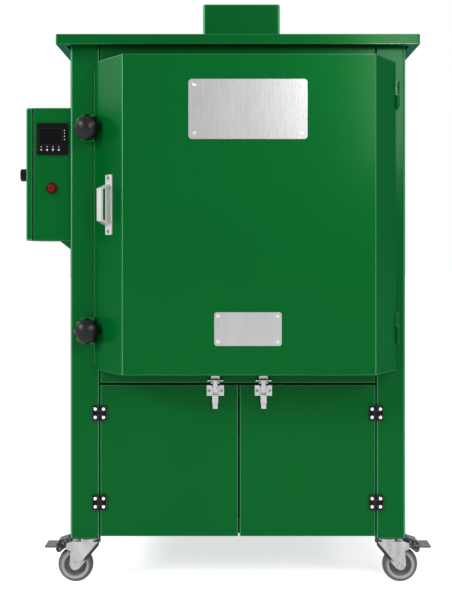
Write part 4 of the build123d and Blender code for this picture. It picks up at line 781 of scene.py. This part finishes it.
class KILN_OT_casters(KilnOperator):
    """Finishes of the casters: plates, forks, wheels and brake pedals"""

    bl_idname = "kiln.casters"
    bl_label = "Finish the casters"

    def make(self, scene):
        zinc = scene.kiln_metal.zinc
        fork_zinc = darker(zinc, 0.68)
        self.race(zinc).on("caster_plates")
        for row in ("front", "rear"):
            for side in ("left", "right"):
                node = f"{row}_{side}_wheel"
                low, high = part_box(node)
                self.wheel(f"{node}_finish", (low + high) / 2).on(node)
                self.pressed_zinc(f"{row}_{side}_fork", fork_zinc, (low + high) / 2, side)
                if row == "front":
                    self.pedal(side).on(f"{row}_{side}_brake_pedal")

    def pressed_zinc(self, node, rgb, axle, side):
        """Zinc plated sheet, faintly clouded, with painted shade inside the fork and along its slanting edge,
        and a painted highlight along edges.
        """
        out = -1 if side == "left" else 1
        # The corner where the slanting edge starts, the way across it, and the height and width of a strip of
        # painted shade along that edge, which stands for the leg's bent return in shadow.
        corner_x, corner_z = axle.x - out * 0.068, 0.107
        slope_x, slope_z = 0.7625, 0.647
        flange_foot, flange_top = 0.058, 0.070
        flange_inner, flange_outer = 0.0065, 0.0095
        sheet_inside = -0.004
        made = Finish(f"{node}_zinc", rgb, 0.3, 1.0)
        folded = made.rounded(0.0016)
        cloud = made.noise(0.022, 2.0, made.stretched((1, 1, 0.4)))
        specks = made.noise(0.0018, 3.0)
        body = made.blend(made.limit(cloud, 0.36, 0.64), darker(rgb, 0.86), darker(rgb, 1.22))
        body = made.blend(0.2 * specks, body, darker(rgb, 0.6))
        # Painted highlight: lighter along edges.
        body = made.blend(0.6 * made.edges(folded), body, darker(rgb, 1.7))
        point = made.place()
        # Painted shade: darker on the faces inside the fork and on a strip along the slanting edge.
        facing = made.axis(1, made.node("ShaderNodeTexCoord", output="Normal"))
        inside = facing * (made.axis(1, point) - axle.y) < sheet_inside
        height = made.axis(2, point)
        inset = (made.axis(0, point) - corner_x) * (out * slope_x) + (height - corner_z) * slope_z
        above_eye = made.limit(height, flange_foot, flange_top)
        painted_flange_shade = above_eye * (1 - made.limit(inset, flange_inner, flange_outer))
        shade = made.limit(inside + painted_flange_shade, 0.0, 0.85)
        made.set("Base Color", made.blend(shade, body, darker(rgb, 0.10)))
        made.set("Roughness", 0.26 + 0.12 * specks)
        made.bump(specks, 0.00004, 0.5, folded)
        made.on(node)

    def race(self, rgb):
        """Plates and races: steel painted by height, with painted shade above and below a painted highlight
        ring.
        """
        made = Finish("race_steel", rgb, 0.26, 1.0)
        low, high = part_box("caster_plates")
        ramp_depth = 0.020
        drop = high.z - made.axis(2)
        # Painted shade and highlight: dark, then a bright ring, then dark again, going down from the plates.
        shade_and_highlight_tones = ((0.0, 0.10), (0.20, 0.06), (0.30, 1.3), (0.42, 1.3), (0.50, 0.10), (1.0, 0.10))
        stops = [(depth, darker(rgb, tone)) for depth, tone in shade_and_highlight_tones]
        made.set("Base Color", made.ramp(drop * (1 / ramp_depth), stops))
        made.set("Roughness", 0.2 + 0.14 * made.noise(0.003, 3.0))
        made.bump(made.noise(0.002, 2.0), 0.00004, 0.5, made.rounded(0.0008))
        return made

    def pedal(self, side):
        """Dark pressed steel with painted glints, a paler tread at the tip and a painted highlight along
        edges.
        """
        low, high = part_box(f"front_{side}_brake_pedal")
        tread_length, tread_fade = 0.031, 0.003
        made = Finish(f"{side}_pedal_steel", (0.05, 0.05, 0.05), 0.38, 0.6, 0.3)
        point = made.place()
        across = made.axis(0, point)
        tip = low.x if side == "left" else high.x
        tread = 1 - made.limit(abs(across - tip), tread_length, tread_length + tread_fade)
        folded = made.rounded(0.0012)
        # Painted glints: bright patches of highlight over the dark steel.
        glints = made.limit(made.noise(0.006, 3.0), 0.52, 0.66)
        body = made.blend(glints, (0.018, 0.018, 0.018), (0.16, 0.16, 0.155))
        body = made.blend(0.8 * tread, body, (0.12, 0.12, 0.12))
        # Painted highlight: lighter along edges.
        made.set("Base Color", made.blend(0.7 * made.edges(folded), body, (0.62, 0.62, 0.62)))
        made.set("Roughness", 0.28 + 0.2 * made.noise(0.004, 2.0))
        made.bump(made.noise(0.003, 2.0), 0.0002, 0.6, folded)
        return made

    def wheel(self, name, axle):
        """Grey tread with a paler shoulder ring and a dark hub, as rings from the axle to the rim."""
        rim_radius = 0.050
        made = Finish(name, (0.16, 0.155, 0.15), 0.55, 0.0, 0.25)
        radius = made.radius_about(axle, (0, 2))
        rings = made.ramp(
            made.limit(radius, 0.0, rim_radius),
            (
                (0.00, (0.20, 0.20, 0.20)),
                (0.24, (0.14, 0.14, 0.14)),
                (0.36, (0.040, 0.040, 0.043)),
                (0.58, (0.062, 0.060, 0.064)),
                (0.64, (0.22, 0.21, 0.205)),
                (0.71, (0.42, 0.40, 0.385)),
                (0.77, (0.22, 0.205, 0.20)),
                (0.85, (0.082, 0.076, 0.072)),
                (0.97, (0.066, 0.061, 0.058)),
                (1.00, (0.075, 0.070, 0.066)),
            ),
        )
        dust = made.noise(0.012, 4.0)
        made.set("Base Color", made.blend(0.18 * dust, rings, (0.30, 0.28, 0.26)))
        made.set("Roughness", 0.42 + 0.2 * made.noise(0.006, 2.0))
        made.bump(made.noise(0.002, 2.0), 0.00015, 0.5, made.rounded(0.001))
        return made


class KILN_OT_control_box(KilnOperator):
    """Controller window and keys, pilot lamp, switch and the parts inside the control box"""

    bl_idname = "kiln.control_box"
    bl_label = "Finish the control box"

    def make(self, scene):
        # The controller's strong pale outline along its edges is a painted highlight.
        black = moulded(
            "controller_black", (0.004, 0.004, 0.0045), 0.36, gloss=0.05, highlight_lift=22.0, radius=0.0018
        )
        black.on("temperature_controller")
        moulded("switch_black", (0.006, 0.006, 0.007), 0.32).on("switch_knob")
        moulded("gland_black", (0.008, 0.008, 0.008), 0.5).on("supply_gland")
        moulded("switch_grey", (0.012, 0.012, 0.013), 0.5).on("switch_body")
        moulded("gear_grey", (0.40, 0.41, 0.41), 0.5, gloss=0.3, highlight_lift=1.5).on("switchgear")
        plated("board_zinc", darker(scene.kiln_metal.zinc, 0.95), 0.4, (1, 0.1, 1)).on("mounting_board")
        self.controller_face()
        self.pilot_finish().on("pilot_lamp")

    def controller_face(self):
        """The dark display window and, below it, a row of four keys."""
        low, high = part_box("temperature_controller")
        face = low.y
        left_margin, margin, window_drop = 0.0085, 0.0165, 0.0165
        key_margin, key_spacing, key_level = 0.0135, 0.0165, 0.0140
        glass_front, glass_back, key_height, key_sunk = 0.0004, 0.0012, 0.0007, 0.0003
        window_low = Vector((low.x + left_margin, face + glass_front, (low.z + high.z) / 2 - window_drop))
        window_high = Vector((high.x - margin, face + glass_back, high.z - margin))
        glass = block("display_window", window_low, window_high)
        modify(glass, "BEVEL", width=0.0002, segments=2)
        smoke = Finish("display_glass", (0.0015, 0.0015, 0.002), 0.09, 0.0, 0.08)
        smoke.set("Roughness", 0.06 + 0.06 * smoke.noise(0.02, 2.0))
        settle(glass, smoke, "casing")
        key = block("key_pattern", (-0.0055, -0.0036, 0), (0.0055, 0.0036, key_height))
        modify(key, "BEVEL", width=0.0005, segments=2)
        smooth(key)
        key_z = low.z + key_level
        columns = [low.x + key_margin + key_spacing * column for column in range(4)]
        keys = copies(key, "controller_keys", [(Vector((x, face + key_sunk, key_z)), FRONT) for x in columns])
        discard(key)
        settle(keys, moulded("key_grey", (0.014, 0.014, 0.016), 0.5), "casing")
        self.key_marks(columns, key_z, face + key_sunk - key_height)

    def key_marks(self, columns, key_z, face):
        """A ring and three arrows on the keys, and small lamps above the keys and beside the window."""
        arrow_radius, ring_radius, ring_width, lamp_radius = 0.0034, 0.0026, 0.0006, 0.0012
        lamp_inset, lamp_drop, lamp_spacing, lamp_rise, lamp_proud = 0.0085, 0.021, 0.0085, 0.0085, 0.0001
        low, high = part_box("temperature_controller")
        marks = []
        for x, turn in zip(columns[1:], (pi / 2, pi, 0)):
            arrow = flat_disc("arrow", arrow_radius, 3)
            place = Matrix.Translation((x, face, key_z))
            arrow.data.transform(place @ Matrix.Rotation(-turn, 4, "Y") @ FACE_FRONT)
            marks.append(arrow)
        ring = flat_disc("ring", ring_radius, 24)
        edit(ring)
        pick_faces(ring, lambda middle, normal: True)
        bpy.ops.mesh.inset(thickness=ring_width)
        bpy.ops.mesh.delete(type="FACE")
        done()
        ring.data.transform(Matrix.Translation((columns[0], face, key_z)) @ FACE_FRONT)
        marks.append(ring)
        beside = [(high.x - lamp_inset, high.z - lamp_drop - row * lamp_spacing) for row in range(4)]
        above = [(x, key_z + lamp_rise) for x in columns]
        for x, level in beside + above:
            lamp = flat_disc("lamp", lamp_radius, 16)
            lamp.data.transform(Matrix.Translation((x, low.y - lamp_proud, level)) @ FACE_FRONT)
            marks.append(lamp)
        made = joined(marks, "controller_marks")
        modify(made, "SOLIDIFY", thickness=0.0002, offset=0.0)
        settle(made, moulded("mark_grey", (0.72, 0.72, 0.74), 0.5), "casing")

    def pilot_finish(self):
        """A red lens painted as rings from its middle to its bezel, with painted highlight rings between
        painted dark rings.
        """
        bezel_radius = 0.016
        low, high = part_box("pilot_lamp")
        middle = (low + high) / 2
        made = Finish("pilot_red", (0.45, 0.01, 0.012), 0.14, 0.0, 0.12)
        radius = made.limit(made.radius_about(middle, (0, 2)), 0.0, bezel_radius)
        # Painted highlights and shade: rings of bright and dark red across the lens.
        rings = made.ramp(
            radius,
            (
                (0.00, (0.30, 0.012, 0.014)),
                (0.16, (0.10, 0.002, 0.003)),
                (0.26, (0.035, 0.001, 0.001)),
                (0.38, (0.14, 0.003, 0.004)),
                (0.50, (0.30, 0.008, 0.012)),
                (0.60, (0.12, 0.002, 0.003)),
                (0.70, (0.035, 0.001, 0.001)),
                (1.00, (0.014, 0.001, 0.001)),
            ),
        )
        facets = made.noise(0.004, 1.0)
        made.set("Base Color", made.blend(0.35 * facets, rings, (0.10, 0.0, 0.0)))
        made.set("Roughness", 0.1 + 0.1 * made.noise(0.01, 1.0))
        return made


class KILN_OT_lining(KilnOperator):
    """Bricks, fibre, terminals, thermocouple, vent tube and the wound heating coils"""

    bl_idname = "kiln.lining"
    bl_label = "Line the chamber"

    def make(self, scene):
        settings = scene.kiln_lining
        self.brick_finish("chamber_firebrick", settings).on("chamber_bricks")
        self.brick_finish("door_firebrick", settings).on("door_bricks")
        self.ceramic_fibre(settings.fibre).on("fibre_backing", "door_fibre", "door_gasket")
        self.porcelain().on("element_terminals")
        plated("heated_steel", (0.30, 0.27, 0.24), 0.45).on("vent_tube", "thermocouple")
        self.coils(settings)

    def ceramic_fibre(self, rgb):
        """Dry matted strands."""
        fibre = Finish("ceramic_fibre", rgb, 0.95)
        strands = fibre.noise(0.0025, 6.0)
        fibre.set("Base Color", fibre.blend(strands, darker(rgb, 0.82), darker(rgb, 1.1)))
        fibre.bump(strands, 0.0015, 0.8)
        return fibre

    def porcelain(self):
        """Smooth off-white ceramic with faint clouds."""
        made = Finish("porcelain", (0.74, 0.72, 0.66), 0.3)
        made.set("Base Color", made.blend(made.noise(0.01), (0.68, 0.66, 0.60), (0.8, 0.78, 0.72)))
        made.bump(made.noise(0.004, 1.0), 0.0001, 0.5)
        return made

    def brick_finish(self, name, settings):
        """Porous firebrick in courses, with fine dry joints that follow the face they lie on."""
        # A joint starts this far from a brick's middle, in shares of its length and of its height.
        joint_along, joint_up = 0.4955, 0.491
        made = Finish(name, settings.brick, 0.93)
        point = made.place()
        facing = made.node("ShaderNodeTexCoord", output="Normal")
        across = [made.axis(index, point) for index in range(3)]
        side = abs(made.axis(0, facing)) > 0.5
        level = abs(made.axis(2, facing)) > 0.5
        along = side * across[1] + (1 - side) * across[0]
        rise = level * across[1] + (1 - level) * across[2]
        row = rise * (1 / settings.brick_course)
        shift = (row - row % 1.0) % 2.0
        run = along * (1 / settings.brick_length) + 0.5 * shift
        joint_run = abs(run % 1.0 - 0.5) > joint_along
        joint_row = abs(row % 1.0 - 0.5) > joint_up
        joints = made.limit(joint_run + joint_row, 0.0, 1.0)
        pores = made.limit(made.noise(0.003, 4.0), 0.35, 0.62)
        stain = made.noise(0.12, 3.0)
        body = made.blend(stain, darker(settings.brick, 0.86), darker(settings.brick, 1.12))
        body = made.blend(0.25 * (1 - pores), body, darker(settings.brick, 0.6))
        made.set("Base Color", made.blend(0.55 * joints, body, darker(settings.brick, 0.4)))
        made.bump(pores * (1 - joints), 0.0012, 0.7)
        return made

    def coils(self, settings):
        """Twelve wound wires, one in each groove of the two side walls."""
        low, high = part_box("heating_elements")
        turns = int((high.y - low.y) / settings.coil_pitch)
        deselect()
        bpy.ops.mesh.primitive_circle_add(
            vertices=5, radius=settings.wire_radius, rotation=(pi / 2, 0, 0),
            location=(settings.coil_radius - settings.wire_radius, 0, settings.wire_radius),
        )
        coil = newest("coil_pattern")
        pitch = (high.y - low.y - 2 * settings.wire_radius) / turns
        modify(coil, "SCREW", axis="Z", angle=2 * pi, screw_offset=pitch, iterations=turns, steps=12)
        edit(coil)
        bpy.ops.mesh.select_all(action="SELECT")
        bpy.ops.mesh.fill_holes(sides=8)
        face_outwards()
        done()
        smooth(coil, 80)
        radius = settings.coil_radius
        rows = 6
        places = []
        for x in (low.x + radius, high.x - radius):
            for row in range(rows):
                level = low.z + radius + (high.z - low.z - 2 * radius) * row / (rows - 1)
                places.append((Vector((x, low.y, level)), REAR))
        made = copies(coil, "heating_coils", places)
        discard(coil)
        wire = Finish("element_wire", (0.16, 0.13, 0.11), 0.6, 0.4)
        wire.set("Base Color", wire.blend(wire.noise(0.02, 3.0), (0.10, 0.08, 0.07), (0.22, 0.19, 0.17)))
        wire.bump(wire.noise(0.001, 2.0), 0.0001, 0.5)
        settle(made, wire, "casing")
        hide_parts("heating_elements")


class KILN_OT_stage(KilnOperator):
    """Camera, soft lamps, white surroundings and a pale floor"""

    bl_idname = "kiln.stage"
    bl_label = "Set the stage"

    def make(self, scene):
        settings = scene.kiln_stage
        scene.view_settings.view_transform = "Standard"
        self.camera(scene, settings)
        left_strip_share, left_rim_share = 0.5, 0.42
        self.lamp("left_sun", "SUN", settings.sun, (-3.75, -2.2, 3.35))
        self.lamp("right_sun", "SUN", settings.fill, (3.1, -3.1, 3.2))
        self.lamp("left_strip", "AREA", settings.panel * left_strip_share, (-2.6, -2.4, 1.9))
        self.lamp("left_rim", "AREA", settings.panel * left_rim_share, (-2.6, 0.55, 2.3))
        self.lamp("right_strip", "AREA", settings.panel, (0.93, -3.2, 2.05))
        self.floor(settings)
        self.surroundings(scene, settings)

    def camera(self, scene, settings):
        """A level camera in front, with its lens shifted, so that upright edges stay upright."""
        made = bpy.data.cameras.new("camera")
        made.lens = settings.lens
        made.sensor_width = 36.0
        made.sensor_fit = "AUTO"
        made.shift_x, made.shift_y = settings.shift
        item = bpy.data.objects.new("camera", made)
        scene.collection.objects.link(item)
        item.location = settings.camera
        item.rotation_euler = (pi / 2, 0, 0)
        scene.camera = item

    def lamp(self, name, kind, strength, place):
        """A soft sun, or an upright strip, that shines on the middle of the kiln."""
        softness, strip_width, strip_height = radians(13), 0.3, 1.3
        middle = Vector((0, 0, 0.85))
        made = bpy.data.lights.new(name, kind)
        made.energy = strength
        if kind == "SUN":
            made.angle = softness
        else:
            made.shape = "RECTANGLE"
            made.size, made.size_y = strip_width, strip_height
        item = bpy.data.objects.new(name, made)
        bpy.context.scene.collection.objects.link(item)
        item.location = place
        item.rotation_euler = (middle - item.location).to_track_quat("-Z", "Y").to_euler()

    def seen_directly(self, finish):
        """One for rays from the camera and from metal or glass, nought for the light that falls on things."""
        path = [
            finish.node("ShaderNodeLightPath", output=name)
            for name in ("Is Camera Ray", "Is Glossy Ray", "Is Transmission Ray")
        ]
        return finish.limit(path[0] + path[1] + path[2], 0.0, 1.0)

    def floor(self, settings):
        """A wide floor that looks white and takes a faint shadow."""
        deselect()
        bpy.ops.mesh.primitive_plane_add(size=2 * settings.floor)
        plane = newest("floor")
        made = Finish("floor_white", (0.9, 0.9, 0.9), 0.9, 0.0, 0.1)
        made.set("Emission Strength", settings.glow)
        glow = self.seen_directly(made)
        made.set("Emission Color", made.blend(glow, (0, 0, 0), (1, 1, 1)))
        made.on(plane)

    def surroundings(self, scene, settings):
        """White to the camera and in reflections, and a plain level as light."""
        world = bpy.data.worlds.new("surroundings")
        world.use_nodes = True
        scene.world = world
        made = Sky(world.node_tree)
        back = world.node_tree.nodes["Background"]
        back.inputs["Color"].default_value = (1, 1, 1, 1)
        glow = self.seen_directly(made)
        made.feed(back.inputs["Strength"], made.limit(glow, 0.0, 1.0, settings.ambient, 1.0))


OPERATORS = (
    KILN_OT_stage,
    KILN_OT_casing,
    KILN_OT_door_trim,
    KILN_OT_star_knobs,
    KILN_OT_latches,
    KILN_OT_fasteners,
    KILN_OT_control_box,
    KILN_OT_casters,
    KILN_OT_lining,
)


class KILN_PT_looks(bpy.types.Panel):
    """Buttons for each group of the kiln's pieces."""

    bl_label = "Ceramic kiln"
    bl_space_type = "VIEW_3D"
    bl_region_type = "UI"
    bl_category = "Kiln"

    def draw(self, context):
        for operator in OPERATORS:
            self.layout.operator(operator.bl_idname)


SETTINGS = {
    "kiln_enamel": EnamelSettings,
    "kiln_metal": MetalSettings,
    "kiln_lining": LiningSettings,
    "kiln_stage": StageSettings,
}


def register():
    for group in SETTINGS.values():
        bpy.utils.register_class(group)
    for name, group in SETTINGS.items():
        setattr(bpy.types.Scene, name, PointerProperty(type=group))
    for operator in OPERATORS:
        bpy.utils.register_class(operator)
    bpy.utils.register_class(KILN_PT_looks)


def unregister():
    bpy.utils.unregister_class(KILN_PT_looks)
    for operator in reversed(OPERATORS):
        bpy.utils.unregister_class(operator)
    for name in SETTINGS:
        delattr(bpy.types.Scene, name)
    for group in SETTINGS.values():
        bpy.utils.unregister_class(group)


def main():
    """Makes everything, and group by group."""
    register()
    for operator in OPERATORS:
        group, name = operator.bl_idname.split(".")
        getattr(getattr(bpy.ops, group), name)()


if __name__ == "__main__":
    main()
